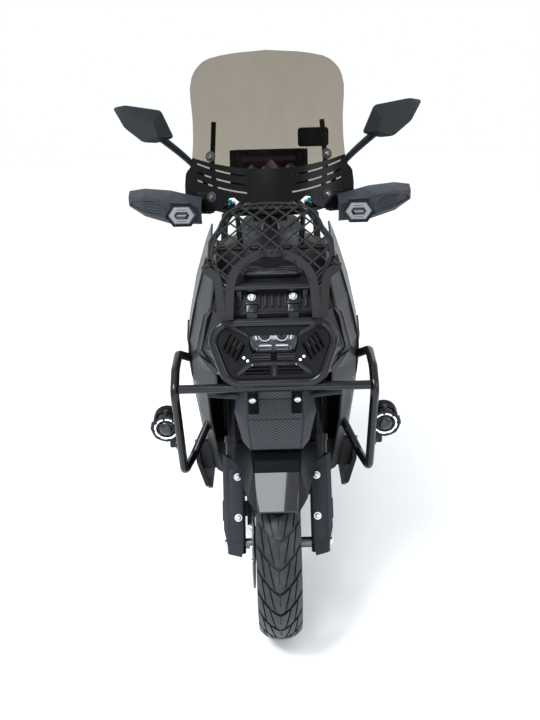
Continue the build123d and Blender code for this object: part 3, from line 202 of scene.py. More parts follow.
def moulded(name, color, rough, grain=900.0, depth=0.00035, shine=0.13):
    """Moulded plastic: fine leathery grain, faint blotches and a trace of dust."""
    f = Finish(name, color, rough, specular_ior_level=shine)
    blotch = f.noise(9.0, 4.0)
    dust = f.spread(f.up(), 0.55, 1.0, 0.0, 0.5) * f.spread(f.noise(38.0, 5.0), 0.5, 0.78, 0.0, 1.0)
    base = f.blend(f.spread(blotch, 0.3, 0.7, 0.0, 1.0), tone(color, 0.86), tone(color, 1.12))
    f.put("Base Color", f.blend(dust * 0.05, base, (0.30, 0.29, 0.28, 1.0)))
    f.put("Roughness", f.spread(blotch, 0.3, 0.7, rough - 0.06, rough + 0.07))
    f.put("Normal", f.bump(f.cells(grain), 0.35, depth))
    return f.material


def lacquer(name, color, rough, flake=0.0, coat=0.6):
    """Painted or polished plastic with a clear coat, soft ripple and fine swirl marks."""
    f = Finish(name, color, rough, coat_weight=coat, coat_roughness=0.06, specular_ior_level=0.12)
    wide = f.noise(5.0, 3.0)
    swirl = f.noise(260.0, 2.0, vector=f.place(scale=(1, 1, 0.12)))
    base = f.blend(f.spread(wide, 0.3, 0.7, 0.0, 1.0), tone(color, 0.9), tone(color, 1.1))
    if flake:
        sparkle = f.spread(f.cells(2600.0), 0.0, 0.25, 1.0, 0.0)
        base = f.blend(sparkle * flake, base, tone(color, 2.6))
    f.put("Base Color", base)
    f.put("Roughness", f.spread(swirl, 0.35, 0.75, rough - 0.03, rough + 0.09))
    f.put("Normal", f.bump(f.noise(60.0, 2.0), 0.04, 0.0006))
    return f.material


def powder(name, color, rough, metal=0.0, coat=0.15):
    """Powder-coated tube: orange-peel skin with rubbed patches."""
    f = Finish(name, color, rough, metal, coat_weight=coat, coat_roughness=0.12, specular_ior_level=0.15)
    rub = f.spread(f.noise(24.0, 6.0, 0.6), 0.5, 0.8, 0.0, 1.0)
    f.put("Base Color", f.blend(rub * 0.5, tone(color, 1.0), tone(color, 1.9)))
    f.put("Roughness", f.spread(rub, 0.0, 1.0, rough, rough + 0.14))
    f.put("Normal", f.bump(f.noise(700.0, 2.0), 0.25, 0.0003))
    return f.material


def metalwork(name, color, rough, stretch=(1, 1, 1), lines=400.0, stain=0.25):
    """Bare metal with machining lines along one direction and light staining."""
    f = Finish(name, color, rough, 1.0)
    brushed = f.noise(lines, 2.0, vector=f.place(scale=stretch))
    dull = f.spread(f.noise(18.0, 5.0), 0.4, 0.75, 0.0, 1.0)
    f.put("Base Color", f.blend(dull * stain, tone(color, 1.0), tone(color, 0.45)))
    f.put("Roughness", f.spread(brushed, 0.3, 0.7, rough - 0.08, rough + 0.1) + dull * 0.12)
    f.put("Normal", f.bump(brushed, 0.12, 0.0003))
    return f.material


def cast(name, color, rough):
    """Cast alloy: sandy skin with darker dirt in random patches."""
    f = Finish(name, color, rough, 0.85)
    sand = f.noise(520.0, 3.0)
    dirt = f.spread(f.noise(14.0, 6.0, 0.65), 0.45, 0.75, 0.0, 1.0)
    f.put("Base Color", f.blend(dirt * 0.6, tone(color, 1.0), (0.06, 0.055, 0.05, 1.0)))
    f.put("Roughness", f.spread(dirt, 0.0, 1.0, rough, rough + 0.3))
    f.put("Normal", f.bump(sand, 0.5, 0.0005))
    return f.material


def rubber(name, color, rough=0.75, dust=0.4):
    """Rubber: dry surface, scuffs and road dust."""
    f = Finish(name, color, rough, specular_ior_level=0.35)
    scuff = f.spread(f.noise(30.0, 6.0, 0.65), 0.45, 0.75, 0.0, 1.0)
    f.put("Base Color", f.blend(scuff * dust, tone(color, 1.0), (0.16, 0.15, 0.14, 1.0)))
    f.put("Roughness", f.spread(scuff, 0.0, 1.0, rough - 0.1, rough + 0.12))
    f.put("Normal", f.bump(f.noise(420.0, 3.0), 0.3, 0.0004))
    return f.material


def clear(name, color, rough=0.04, density=0.85):
    """Clear moulded lens: see-through, glossy, with faint haze."""
    f = Finish(name, color, rough, coat_weight=1.0, coat_roughness=0.03)
    haze = f.spread(f.noise(45.0, 4.0), 0.4, 0.8, 0.0, 0.12)
    f.put("Roughness", f.spread(haze, 0.0, 0.12, rough, rough + 0.08))
    f.put("Alpha", 1.0 - density * (1.0 - haze))
    return f.material


def lamp_plastic(name, color):
    """Coloured lamp cover with moulded prisms."""
    f = Finish(name, color, 0.12, coat_weight=1.0, coat_roughness=0.04)
    x, y, z = f.axes(f.place())
    prism = abs(((x * 160.0) % 1.0) - 0.5) + abs(((z * 160.0) % 1.0) - 0.5)
    f.put("Base Color", f.blend(prism, tone(color, 0.7), tone(color, 1.25)))
    f.put("Normal", f.bump(prism, 0.35, 0.002))
    return f.material


def windscreen_finish():
    """Smoked sheet with a blacked-out foot and three clear lines across it."""
    f = Finish("smoked_screen", (0.003, 0.003, 0.0035), 0.25, specular_ior_level=0.10)
    x, y, z = f.axes(f.place())
    dark = (z - x * x * 0.55) < 1.191
    lines = 0.0
    for height in (1.170, 1.147, 1.126):
        near = (abs(x) > 0.062) * (abs(x) < 0.200) * (abs(abs(x) - 0.152) > 0.004)
        lines = (abs(z - height - x * x * 0.78) < 0.0024) * near + lines
    dark = dark * (1.0 - lines)
    streak = f.noise(30.0, 4.0, vector=f.place(scale=(1, 1, 0.35)))
    smoke = f.spread(z, 1.19, 1.50, 0.085, 0.145) + f.spread(streak, 0.4, 0.8, 0.0, 0.03)
    f.put("Roughness", f.spread(streak, 0.4, 0.75, 0.18, 0.30))
    f.see_through((0.66, 0.617, 0.56, 1.0), dark * (0.985 - smoke) + smoke - lines * 0.05)
    return f.material


def dial_finish():
    """Dark display with a purple-grey band, and peaks along its foot striped with painted light and shade as if
    faceted.
    """
    f = Finish("dial_face", (0.006, 0.006, 0.007), 0.25, specular_ior_level=0.1)
    x, y, z = f.axes(f.place())
    band = (abs(z - 1.216) < 0.006) * (abs(x) < 0.075)
    peaks = 0.0
    for middle, half, tall in ((-0.046, 0.020, 0.018), (0.006, 0.034, 0.028), (0.058, 0.022, 0.020)):
        rise = 1.0 - abs(x - middle) / half
        peaks = ((z - 1.186) < rise * tall) * (abs(x - middle) < half) * (z > 1.150) + peaks
    # Painted light and shade: slanted stripes run dark to light across the peaks, standing in for lit and shaded
    # facets.
    side = f.spread((x * 30.0 + z * 12.0) % 1.0, 0.0, 1.0, 0.0, 1.0)
    painted_facet_light = f.blend(side, (0.040, 0.034, 0.050, 1.0), (0.30, 0.27, 0.36, 1.0))
    base = f.blend(band, (0.004, 0.004, 0.005, 1.0), (0.045, 0.028, 0.045, 1.0))
    f.put("Base Color", f.blend(peaks, base, painted_facet_light))
    f.put("Roughness", f.spread(f.noise(60.0), 0.3, 0.7, 0.2, 0.32))
    return f.material


def fender_finish():
    """Glossy ridge along the middle, dull moulded wings either side."""
    f = Finish("fender_black", (0.006, 0.0065, 0.0075), 0.1, specular_ior_level=0.06, coat_roughness=0.02)
    x, y, z = f.axes(f.place())
    wing = abs(x) > 0.050 + (z - 0.46) * 0.06
    grain = f.cells(900.0)
    f.put("Base Color", f.blend(wing, (0.004, 0.0045, 0.0055, 1.0), (0.004, 0.0043, 0.005, 1.0)))
    f.put("Roughness", wing * 0.40 + f.spread(f.noise(40.0, 3.0), 0.3, 0.7, 0.05, 0.10))
    f.put("Coat Weight", 1.0 - wing)
    f.put("Normal", f.bump(grain * wing, 0.3, 0.0004))
    return f.material


def glow(name, color, power):
    """A lit lamp element behind its cover."""
    f = Finish(name, color, 0.25, emission_strength=power)
    grain = f.spread(f.noise(300.0), 0.3, 0.7, 0.0, 1.0)
    f.put("Emission Color", f.blend(grain, tone(color, 0.8), tone(color, 1.0)))
    return f.material


def webbing_finish():
    """Woven strap: fine ribs across the weave and a dull sheen."""
    f = Finish("webbing", (0.012, 0.012, 0.013), 0.8, specular_ior_level=0.2)
    x, y, z = f.axes(f.place())
    weave = abs(((x * 620.0) % 1.0) - 0.5) + abs(((z * 620.0) % 1.0) - 0.5)
    f.put("Base Color", f.blend(weave, (0.006, 0.006, 0.0065, 1.0), (0.022, 0.022, 0.023, 1.0)))
    f.put("Normal", f.bump(weave, 0.5, 0.0006))
    return f.material


FINISH = {
    "frame_black": powder("frame_black", (0.006, 0.006, 0.007), 0.42),
    "nose_black": lacquer("nose_black", (0.009, 0.009, 0.010), 0.14),
    "body_grey": lacquer("body_grey", (0.033, 0.033, 0.034), 0.42, flake=0.15, coat=0.1),
    "slate_plastic": moulded("slate_plastic", (0.023, 0.026, 0.032), 0.42),
    "black_plastic": moulded("black_plastic", (0.006, 0.0063, 0.0075), 0.45),
    "guard_black": powder("guard_black", (0.0035, 0.0037, 0.0045), 0.22, coat=0.3),
    "lamp_clear": clear("lamp_clear", (0.10, 0.11, 0.12), density=0.93),
    "lamp_red": lamp_plastic("lamp_red", (0.42, 0.012, 0.012)),
    "lamp_amber": lamp_plastic("lamp_amber", (0.72, 0.26, 0.03)),
    "lamp_body": metalwork("lamp_body", (0.03, 0.03, 0.033), 0.42),
    "hex_lamp": lacquer("hex_lamp", (0.15, 0.157, 0.175), 0.22),
    "screen_smoke": windscreen_finish(),
    "rubber": rubber("rubber", (0.008, 0.008, 0.0085), dust=0.12),
    "tyre": rubber("tyre", (0.011, 0.0115, 0.0125), 0.52, 0.14),
    "wheel_black": powder("wheel_black", (0.006, 0.006, 0.007), 0.32),
    "steel": metalwork("steel", (0.62, 0.62, 0.63), 0.28),
    "fork_black": powder("fork_black", (0.010, 0.010, 0.012), 0.38, 0.3),
    "engine_alloy": cast("engine_alloy", (0.34, 0.35, 0.36), 0.42),
    "exhaust": metalwork("exhaust", (0.20, 0.20, 0.205), 0.38, stretch=(1, 0.08, 1)),
    "mirror_glass": metalwork("mirror_glass", (0.85, 0.87, 0.88), 0.06, lines=6.0, stain=0.04),
    "seat_cover": moulded("seat_cover", (0.010, 0.0098, 0.0098), 0.62, grain=420.0, depth=0.0008, shine=0.08),
    "net_cord": rubber("net_cord", (0.006, 0.006, 0.0065), 0.8, 0.06),
    "bar_metal": powder("bar_metal", (0.007, 0.007, 0.008), 0.34, 0.4),
    "fender_black": fender_finish(),
    "mirror_shell": moulded("mirror_shell", (0.0075, 0.009, 0.0115), 0.32, shine=0.22),
    "reflector": metalwork("reflector", (0.30, 0.32, 0.35), 0.12, lines=40.0, stain=0.3),
    "dark_steel": metalwork("dark_steel", (0.14, 0.14, 0.145), 0.34),
    "carrier_black": moulded("carrier_black", (0.006, 0.006, 0.0065), 0.65, shine=0.06),
    "grille_black": moulded("grille_black", (0.004, 0.0042, 0.005), 0.40, shine=0.12),
    "rib_gloss": moulded("rib_gloss", (0.021, 0.025, 0.031), 0.30, shine=0.6),
    "bright_steel": metalwork("bright_steel", (0.80, 0.80, 0.81), 0.20, stain=0.1),
    "cyan_anodised": metalwork("cyan_anodised", (0.05, 0.52, 0.62), 0.25, stain=0.1),
    "chrome": metalwork("chrome", (0.90, 0.91, 0.93), 0.07, lines=40.0, stain=0.05),
    "lamp_white": glow("lamp_white", (0.95, 0.96, 1.0), 0.55),
    "projector_glass": lacquer("projector_glass", (0.010, 0.012, 0.018), 0.05),
    "dial_face": dial_finish(),
    "dial_glass": lacquer("dial_glass", (0.006, 0.007, 0.009), 0.06),
    "webbing": webbing_finish(),
}
NODE_FINISH = {
    "front_fender": "fender_black",
    "instrument": "dial_face",
    "lamp_guard": "grille_black",
    "brake_disc": "dark_steel",
    "front_axle": "dark_steel",
    "rear_carrier": "carrier_black",
}
for part in frame["record"]["subparts"]:
    shown = NODE[part["node"]]
    shown.data.materials.clear()
    shown.data.materials.append(FINISH[NODE_FINISH.get(part["node"], part["material_slot"])])

SOFT_EDGES = {
    "handguards": 0.005,
    "fork_guards": 0.004,
    "chevron_panel": 0.003,
    "front_fender": 0.0022,
    "lower_cowl_left": 0.003,
    "lower_cowl_right": 0.003,
    "floorboard_left": 0.004,
    "floorboard_right": 0.004,
}
for name, width in SOFT_EDGES.items():
    join = NODE[name].modifiers.new("join", "WELD")
    join.merge_threshold = 0.00005
    soft = NODE[name].modifiers.new("soft_edges", "BEVEL")
    soft.width = width
    soft.segments = 3
    soft.limit_method = "ANGLE"
    soft.angle_limit = math.radians(20.0)


# Modelling helpers

def shift(x, y, z):
    return Matrix.Translation((x, y, z))


def spot(x, y, z, turn=(0.0, 0.0, 0.0)):
    """A place in the frame, with turns about X, Y and Z in degrees."""
    return shift(x, y, z) @ Euler([math.radians(angle) for angle in turn]).to_matrix().to_4x4()


def facing(point, normal, up=(0.0, 0.0, 1.0)):
    """A place whose Z looks along normal and whose Y leans towards up."""
    z = Vector(normal).normalized()
    x = Vector(up).cross(z).normalized()
    y = z.cross(x)
    turn = Matrix((x, y, z)).transposed().to_4x4()
    return Matrix.Translation(point) @ turn


def around(at, count):
    """A place turned about its own Z in equal steps."""
    return [at @ Matrix.Rotation(math.tau * number / count, 4, "Z") for number in range(count)]


def sided(sign, outline):
    """A flat outline, mirrored across the centre plane where sign is -1."""
    return [(sign * x, y) for x, y in outline]


def verts_in(geom):
    return [item for item in geom if isinstance(item, bmesh.types.BMVert)]


def edges_of(verts):
    """The edges at some vertices, each once, in the order they are met."""
    return list(dict.fromkeys(edge for vert in verts for edge in vert.link_edges))


def shapes(count):
    return [bmesh.new() for _ in range(count)]


def block(bm, size, at, bevel=0.0, segments=2):
    made = bmesh.ops.create_cube(bm, size=1.0, matrix=at @ Matrix.Diagonal((*size, 1.0)))
    if bevel:
        round_edges(bm, edges_of(made["verts"]), bevel, segments)


def round_edges(bm, edges, width, segments=2):
    bmesh.ops.bevel(
        bm, geom=edges, offset=width, segments=segments, profile=0.5, affect="EDGES", material=-1
    )


def drum(bm, radius, depth, at, sides=24, top=None):
    bmesh.ops.create_cone(
        bm,
        cap_ends=True,
        segments=sides,
        radius1=radius,
        radius2=radius if top is None else top,
        depth=depth,
        matrix=at,
    )


def full_spin(bm, geom, at, steps):
    axis = at.col[2].to_3d()
    bmesh.ops.spin(bm, geom=geom, cent=at.translation, axis=axis, angle=math.tau, steps=steps, use_merge=True)


def lathe(bm, outline, at, steps=32):
    """Turns an outline of (radius, height) points about the Z of a place."""
    verts = [bm.verts.new(at @ Vector((radius, 0.0, height))) for radius, height in outline]
    edges = [bm.edges.new(pair) for pair in zip(verts, verts[1:])]
    full_spin(bm, verts + edges, at, steps)


def hoop(bm, ring, radius, at, steps=40, sides=10):
    """A round ring: a small circle turned about the Z of a place."""
    start = at @ shift(ring, 0, 0) @ Matrix.Rotation(math.pi / 2, 4, "X")
    made = bmesh.ops.create_circle(bm, segments=sides, radius=radius, matrix=start)
    edges = edges_of(made["verts"])
    full_spin(bm, made["verts"] + edges, at, steps)


def run_frames(path, closed):
    """Places along a path, each turned from the last with no twist."""
    points = [Vector(point) for point in path]
    count = len(points)
    frames = []
    side = None
    for index, point in enumerate(points):
        ahead = points[(index + 1) % count] if closed else points[min(index + 1, count - 1)]
        behind = points[index - 1] if closed else points[max(index - 1, 0)]
        along = (ahead - behind).normalized()
        if side is None:
            side = along.orthogonal().normalized()
        side = (side - along * side.dot(along)).normalized()
        turn = Matrix((side, along.cross(side), along)).transposed().to_4x4()
        frames.append(Matrix.Translation(point) @ turn)
    return frames


def tube(bm, path, radius, sides=10, closed=False):
    """A round bar along a path: a ring at each point, bridged to the next."""
    frames = run_frames(path, closed)
    last = len(frames) - 1
    rings = []
    for index, at in enumerate(frames):
        cap = not closed and index in (0, last)
        made = bmesh.ops.create_circle(bm, cap_ends=cap, segments=sides, radius=radius, matrix=at)
        rings.append(edges_of(made["verts"]))
    for index in range(last + (1 if closed else 0)):
        bmesh.ops.bridge_loops(bm, edges=rings[index] + rings[(index + 1) % len(rings)])


def slab(bm, outline, at, thick, bevel=0.0, segments=2):
    """A flat outline in the XY of a place, thickened along its Z."""
    verts = [bm.verts.new(at @ Vector((x, y, 0.0))) for x, y in outline]
    face = bm.faces.new(verts)
    lifted = bmesh.ops.extrude_face_region(bm, geom=[face])["geom"]
    moved = verts_in(lifted)
    bmesh.ops.translate(bm, verts=moved, vec=at.col[2].to_3d() * thick)
    if bevel:
        round_edges(bm, edges_of(verts + moved), bevel, segments)


def ribbon(bm, path, normals, wide, thick):
    """A flat strap along a path, lying on the surface that the normals give."""
    points = [Vector(point) for point in path]
    loops = []
    for index, point in enumerate(points):
        along = (points[min(index + 1, len(points) - 1)] - points[max(index - 1, 0)]).normalized()
        up = Vector(normals[index]).normalized()
        across = along.cross(up).normalized()
        turn = Matrix((across, up, along)).transposed().to_4x4()
        at = Matrix.Translation(point) @ turn @ Matrix.Diagonal((wide, thick, 1.0, 1.0))
        made = bmesh.ops.create_circle(
            bm,
            cap_ends=index in (0, len(points) - 1),
            segments=4,
            radius=math.sqrt(0.5),
            matrix=at @ Matrix.Rotation(math.pi / 4, 4, "Z"),
        )
        loops.append(edges_of(made["verts"]))
    for first, second in zip(loops, loops[1:]):
        bmesh.ops.bridge_loops(bm, edges=first + second)


WASHER_THICK = 0.0018


def bolt(bm, at, radius, height, washer=0.0):
    """A domed head with a socket, standing on its washer along Z."""
    base = 0.0
    if washer:
        base = WASHER_THICK
        lathe(bm, [(0.0, 0.0), (washer, 0.0), (washer, base), (0.0, base)], at, 20)
    outline = [
        (0.0, base),
        (radius, base),
        (radius, base + height * 0.35),
        (radius * 0.86, base + height * 0.72),
        (radius * 0.58, base + height),
        (radius * 0.42, base + height),
        (radius * 0.40, base + height * 0.45),
        (0.0, base + height * 0.45),
    ]
    lathe(bm, outline, at, 18)


def piece(name, bm, finish, body, replaced=(), smooth=32.0):
    """Closes a shape into a named piece that rides on a body."""
    bmesh.ops.recalc_face_normals(bm, faces=bm.faces[:])
    mesh = bpy.data.meshes.new(name)
    bm.to_mesh(mesh)
    bm.free()
    mesh.polygons.foreach_set("use_smooth", [True] * len(mesh.polygons))
    mesh.set_sharp_from_angle(angle=math.radians(smooth))
    mesh.materials.append(FINISH[finish])
    made = bpy.data.objects.new(name, mesh)
    bpy.context.collection.objects.link(made)
    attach(made, body)
    if replaced:
        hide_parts(*replaced)
    return made


def both(x_values):
    return [sign * x for x in x_values for sign in (-1, 1)]


def flow(points, steps, closed=False):
    """A smooth path through points, with that many steps between each two."""
    points = [Vector(point) for point in points]
    count = len(points)
    path = []
    for index in range(count if closed else count - 1):
        if closed:
            a, b, c, d = (points[(index + near) % count] for near in (-1, 0, 1, 2))
        else:
            a, b, c, d = (points[min(max(index + near, 0), count - 1)] for near in (-1, 0, 1, 2))
        for step in range(steps):
            t = step / steps
            path.append(
                b + (c - a) * (t / 2) + (a * 2 - b * 5 + c * 4 - d) * (t * t / 2)
                + (b * 3 - a - c * 3 + d) * (t**3 / 2)
            )
    if not closed:
        path.append(points[-1])
    return path


# Places taken from the frame

JOINT = {joint["name"]: joint for joint in frame["record"]["behaviour"]["joints"]}
FRONT_AXLE = Vector(JOINT["front_wheel_spin"]["pos_m"])
REAR_AXLE = Vector(JOINT["rear_wheel_spin"]["pos_m"])
STEER_FOOT = Vector(JOINT["steering_turn"]["pos_m"])
STEER_UP = Vector(JOINT["steering_turn"]["axis"]).normalized()
STEER_BACK = STEER_UP.cross(Vector((1.0, 0.0, 0.0)))
AXLE_UP = (FRONT_AXLE - STEER_FOOT).dot(STEER_UP)
BAR = STEER_FOOT + STEER_UP * 1.191
AHEAD = Vector((0.0, -1.0, 0.0))


def steer(x, back, up):
    return STEER_FOOT + Vector((x, 0.0, 0.0)) + STEER_BACK * back + STEER_UP * up


def from_bar(x, back, up):
    return Vector((x, BAR.y + back, BAR.z + up))


# Tyres

TYRE_RADIUS = 0.250
FRONT_WIDTH = 0.112
REAR_WIDTH = 0.130
TREAD_PITCHES = 24
TREAD_EDGE = math.radians(68.0)
TREAD_DEPTH = 0.0065
BEAD_RATIO = 0.66
RIM_HALF = 0.0357
VEE_RISE = 0.072
TREAD_GAPS = ((0.13, 0.24), (0.50, 0.17))
TREAD_GAP_HALF = 0.036


def tyre_section(v, radius, width):
    turn = v * TREAD_EDGE
    out = width / 2 * math.sin(turn) / math.sin(TREAD_EDGE)
    return out, radius - radius * 0.11 * (1 - math.cos(turn)) / (1 - math.cos(TREAD_EDGE))


def tyre_carcass(bm, axle, radius, width):
    crown = []
    for step in range(-8, 9):
        out, reach = tyre_section(step / 8, radius, width)
        sunk = TREAD_DEPTH if abs(step) < 8 else 0.002
        crown.append((reach - sunk, out))
    bead = radius * BEAD_RATIO + 0.0003
    half = width / 2
    flank = [
        (radius * 0.89 - 0.012, half + 0.0004),
        (radius * 0.89 - 0.022, half - 0.001),
        (bead + 0.034, half - 0.007),
        (bead + 0.026, half - 0.013),
        (bead + 0.022, half - 0.012),
        (bead + 0.015, RIM_HALF),
        (bead, RIM_HALF),
    ]
    outline = crown + flank + [(reach, -out) for reach, out in reversed(flank)]
    outline.append(outline[0])
    lathe(bm, outline, Matrix.Translation(axle) @ Matrix.Rotation(math.pi / 2, 4, "Y"), 96)
    bmesh.ops.remove_doubles(bm, verts=bm.verts[:], dist=1e-6)


def tread_block(bm, lay, low, high, start, end, across, along):
    made = bmesh.ops.create_grid(bm, x_segments=across, y_segments=along, size=0.5)
    for vert in made["verts"]:
        s = start + (end - start) * (vert.co.y + 0.5)
        v = low(s) + (high(s) - low(s)) * (vert.co.x + 0.5)
        vert.co = lay(v, s)
    faces = list(dict.fromkeys(face for vert in made["verts"] for face in vert.link_faces))
    raised = bmesh.ops.extrude_face_region(bm, geom=faces)["geom"]
    return verts_in(raised)


def treaded_tyre(name, axle, radius, width, pitches, node, body):
    bm = bmesh.new()
    tyre_carcass(bm, axle, radius, width)
    pitch = math.tau * radius / pitches

    def gap(index, s):
        first, slope = TREAD_GAPS[index]
        return first + slope * s

    for number in range(pitches):

        def lay(v, s):
            out, reach = tyre_section(v, radius, width)
            rise = VEE_RISE * (math.sqrt(v * v + 0.012) - 0.11)
            turn = (rise + (number + s) * pitch) / radius
            reach -= TREAD_DEPTH + 0.001
            return Vector((out, axle.y - reach * math.cos(turn), axle.z + reach * math.sin(turn)))

        bounds = []
        for sign in (-1, 1):
            edges = [lambda s, k=k: gap(k, s) for k in range(2)]
            bounds.append((sign, lambda s: 0.012, edges[0], 0.50, 1.0, 0.0, -TREAD_GAP_HALF))
            bounds.append((sign, edges[0], edges[1], 0.16, 1.0, TREAD_GAP_HALF, -TREAD_GAP_HALF))
            bounds.append((sign, edges[1], lambda s: 0.97, 0.17, 1.0, TREAD_GAP_HALF, 0.0))
        inner = lambda s: gap(0, s) - TREAD_GAP_HALF
        lifted = tread_block(bm, lay, lambda s: -inner(s), inner, 0.16, 0.50, 5, 2)
        for sign, low, high, start, end, shift_low, shift_high in bounds:
            near, far = (lambda s: sign * (low(s) + shift_low)), (lambda s: sign * (high(s) + shift_high))
            lifted += tread_block(bm, lay, near, far, start, end, 3, 4)
        for vert in lifted:
            out = Vector((0.0, vert.co.y - axle.y, vert.co.z - axle.z)).normalized()
            vert.co += out * (TREAD_DEPTH + 0.001)
    piece(name, bm, "tyre", body, [node], smooth=26.0)


treaded_tyre("front_tyre_tread", FRONT_AXLE, TYRE_RADIUS, FRONT_WIDTH, TREAD_PITCHES, "front_tyre", "front_wheel")
treaded_tyre("rear_tyre_tread", REAR_AXLE, TYRE_RADIUS, REAR_WIDTH, TREAD_PITCHES, "rear_tyre", "rear_wheel")


# Screen fittings

SCREEN_RADIUS = 0.380
SCREEN_LEAN = math.radians(16.0)
SCREEN_UP = Vector((0.0, math.sin(SCREEN_LEAN), math.cos(SCREEN_LEAN)))
SCREEN_BACK = SCREEN_UP.cross(Vector((1.0, 0.0, 0.0)))
SCREEN_FOOT = from_bar(0.0, -0.098, 0.034)


def screen_place(x, up):
    """A place on the front face of the screen, at a height above the bar."""
    depth = SCREEN_RADIUS - math.sqrt(SCREEN_RADIUS**2 - x * x)
    rise = (up + BAR.z - SCREEN_FOOT.z - SCREEN_BACK.z * depth) / SCREEN_UP.z
    point = SCREEN_FOOT + Vector((x, 0, 0)) + SCREEN_BACK * depth + SCREEN_UP * rise
    normal = Vector((x / SCREEN_RADIUS, 0, 0)) + SCREEN_BACK * ((depth - SCREEN_RADIUS) / SCREEN_RADIUS)
    return point, normal.normalized()


SCREEN_SIDE = ((0.014, 0.226), (0.045, 0.237), (0.075, 0.238), (0.100, 0.233), (0.135, 0.220), (0.165, 0.213),
               (0.201, 0.2095), (0.239, 0.2090), (0.300, 0.2135), (0.345, 0.2145))
SCREEN_HEAD = ((0.0, 0.436), (0.085, 0.430), (0.125, 0.424), (0.156, 0.417), (0.175, 0.408), (0.187, 0.398),
               (0.1965, 0.388), (0.2037, 0.377), (0.209, 0.365), (0.2125, 0.353), (0.2145, 0.338))
SCREEN_HEM = ((0.0, 0.044), (0.084, 0.044), (0.098, 0.056), (0.112, 0.054), (0.126, 0.030), (0.150, 0.018),
              (0.205, 0.016), (0.222, 0.022), (0.232, 0.036), (0.240, 0.056))
SCREEN_THICK = 0.004


def along_table(rows, at):
    """The value of a table of (place, value) rows at a place between them."""
    for (a, first), (b, second) in zip(rows, rows[1:]):
        if at <= b:
            return first + (second - first) * max(0.0, at - a) / (b - a)
    return rows[-1][1]


sheet = bmesh.new()
bmesh.ops.create_grid(sheet, x_segments=72, y_segments=48, size=1.0)
for vert in sheet.verts:
    share = (vert.co.y + 1) / 2
    x = vert.co.x * along_table(SCREEN_SIDE, 0.045 + 0.385 * share)
    low, high = along_table(SCREEN_HEM, abs(x)), along_table(SCREEN_HEAD, abs(x))
    x = vert.co.x * along_table(SCREEN_SIDE, low + (high - low) * share)
    low, high = along_table(SCREEN_HEM, abs(x)), along_table(SCREEN_HEAD, abs(x))
    vert.co = screen_place(x, low + (high - low) * share)[0]
sheet.normal_update()
if sum(face.normal.y for face in sheet.faces) > 0:
    bmesh.ops.reverse_faces(sheet, faces=sheet.faces[:])
bmesh.ops.solidify(sheet, geom=sheet.faces[:], thickness=SCREEN_THICK)
piece("screen_sheet", sheet, "screen_smoke", "steering", ["windscreen"], smooth=40.0)
SCREEN_BOLTS = [(x, up) for up in (0.055, 0.161) for x in (-0.160, 0.160)]
washers, heads = shapes(2)
for x, up in SCREEN_BOLTS:
    point, normal = screen_place(x, up)
    at = facing(point, normal)
    lathe(washers, [(0.0, 0.0), (0.0145, 0.0), (0.0145, 0.0025), (0.011, 0.0042), (0.0, 0.0042)], at, 28)
    bolt(heads, at @ shift(0, 0, SCREEN_THICK), 0.0082, 0.0058)
piece("screen_washers", washers, "rubber", "steering")
piece("screen_bolts", heads, "dark_steel", "steering")


# Handguards

GUARD_ROWS = ((0.188, -0.096), (0.275, -0.098), (0.348, -0.074), (0.398, -0.008))
GUARD_LINES = (
    (0.0036, ((0.392, 0.030), (0.382, 0.047), (0.348, 0.056), (0.318, 0.054), (0.296, 0.044), (0.287, 0.030))),
    (0.0030, ((0.196, 0.034), (0.230, 0.046), (0.275, 0.050))),
    (0.0034, ((0.286, 0.006), (0.310, 0.011), (0.348, 0.021), (0.388, 0.029))),
)
LAMP = from_bar(0.241, -0.107, 0.017)


def guard_face(x, up):
    """A point on the guard's front face, at a distance out and a height above the bar."""
    return from_bar(x, along_table(GUARD_ROWS, x), up)


def hexagon(half, flat, high):
    upper = [(half, 0.0), (flat, high), (-flat, high)]
    return upper + [(-x, -y) for x, y in upper]


def framed(bm, outline, at, rim, depth):
    """A raised frame round an outline, with an open middle."""
    made = [bm.verts.new(at @ Vector((x, y, 0.0))) for x, y in outline]
    face = bm.faces.new(made)
    edge = bmesh.ops.inset_individual(bm, faces=[face], thickness=rim)["faces"]
    bmesh.ops.delete(bm, geom=[face], context="FACES_ONLY")
    raised = bmesh.ops.extrude_face_region(bm, geom=edge)["geom"]
    moved = verts_in(raised)
    bmesh.ops.translate(bm, verts=moved, vec=at.col[2].to_3d() * depth)


ribs, rims, lamp_covers, lamp_slots = shapes(4)
for sign in (-1, 1):
    flip = Matrix.Diagonal((sign, 1.0, 1.0, 1.0))
    for step in range(4):
        lift = 0.021 + 0.0075 * step
        path = [flip @ guard_face(x, lift + (x - 0.30) * 0.10) for x in (0.302, 0.318, 0.334, 0.345, 0.356)]
        tube(ribs, path, 0.0022, 8)
    for radius, line in GUARD_LINES:
        tube(ribs, flow([flip @ guard_face(x, up) for x, up in line], 5), radius, 8)
    at = flip @ facing(LAMP, AHEAD)
    framed(rims, hexagon(0.0445, 0.0245, 0.0305), at @ shift(0, 0, -0.001), 0.0075, 0.0105)
    slab(lamp_covers, hexagon(0.035, 0.0195, 0.0225), at @ shift(0, 0, 0.0065), 0.003, 0.0022)
    slab(lamp_slots, hexagon(0.021, 0.015, 0.0100), at @ shift(0, 0, 0.0092), 0.0010, 0.0004)
    for y in (-0.0155, 0.0155):
        block(lamp_slots, (0.024, 0.0014, 0.0012), at @ shift(0, y, 0.0095))
    block(lamp_covers, (0.026, 0.0040, 0.003), at @ shift(0, 0, 0.0100), 0.0010)
piece("handguard_ribs", ribs, "slate_plastic", "steering")
piece("guard_lamp_bezels", rims, "slate_plastic", "steering")
piece("guard_lamp_covers", lamp_covers, "hex_lamp", "steering", smooth=20.0)
piece("guard_lamp_slots", lamp_slots, "nose_black", "steering")


# Grips and bar fittings

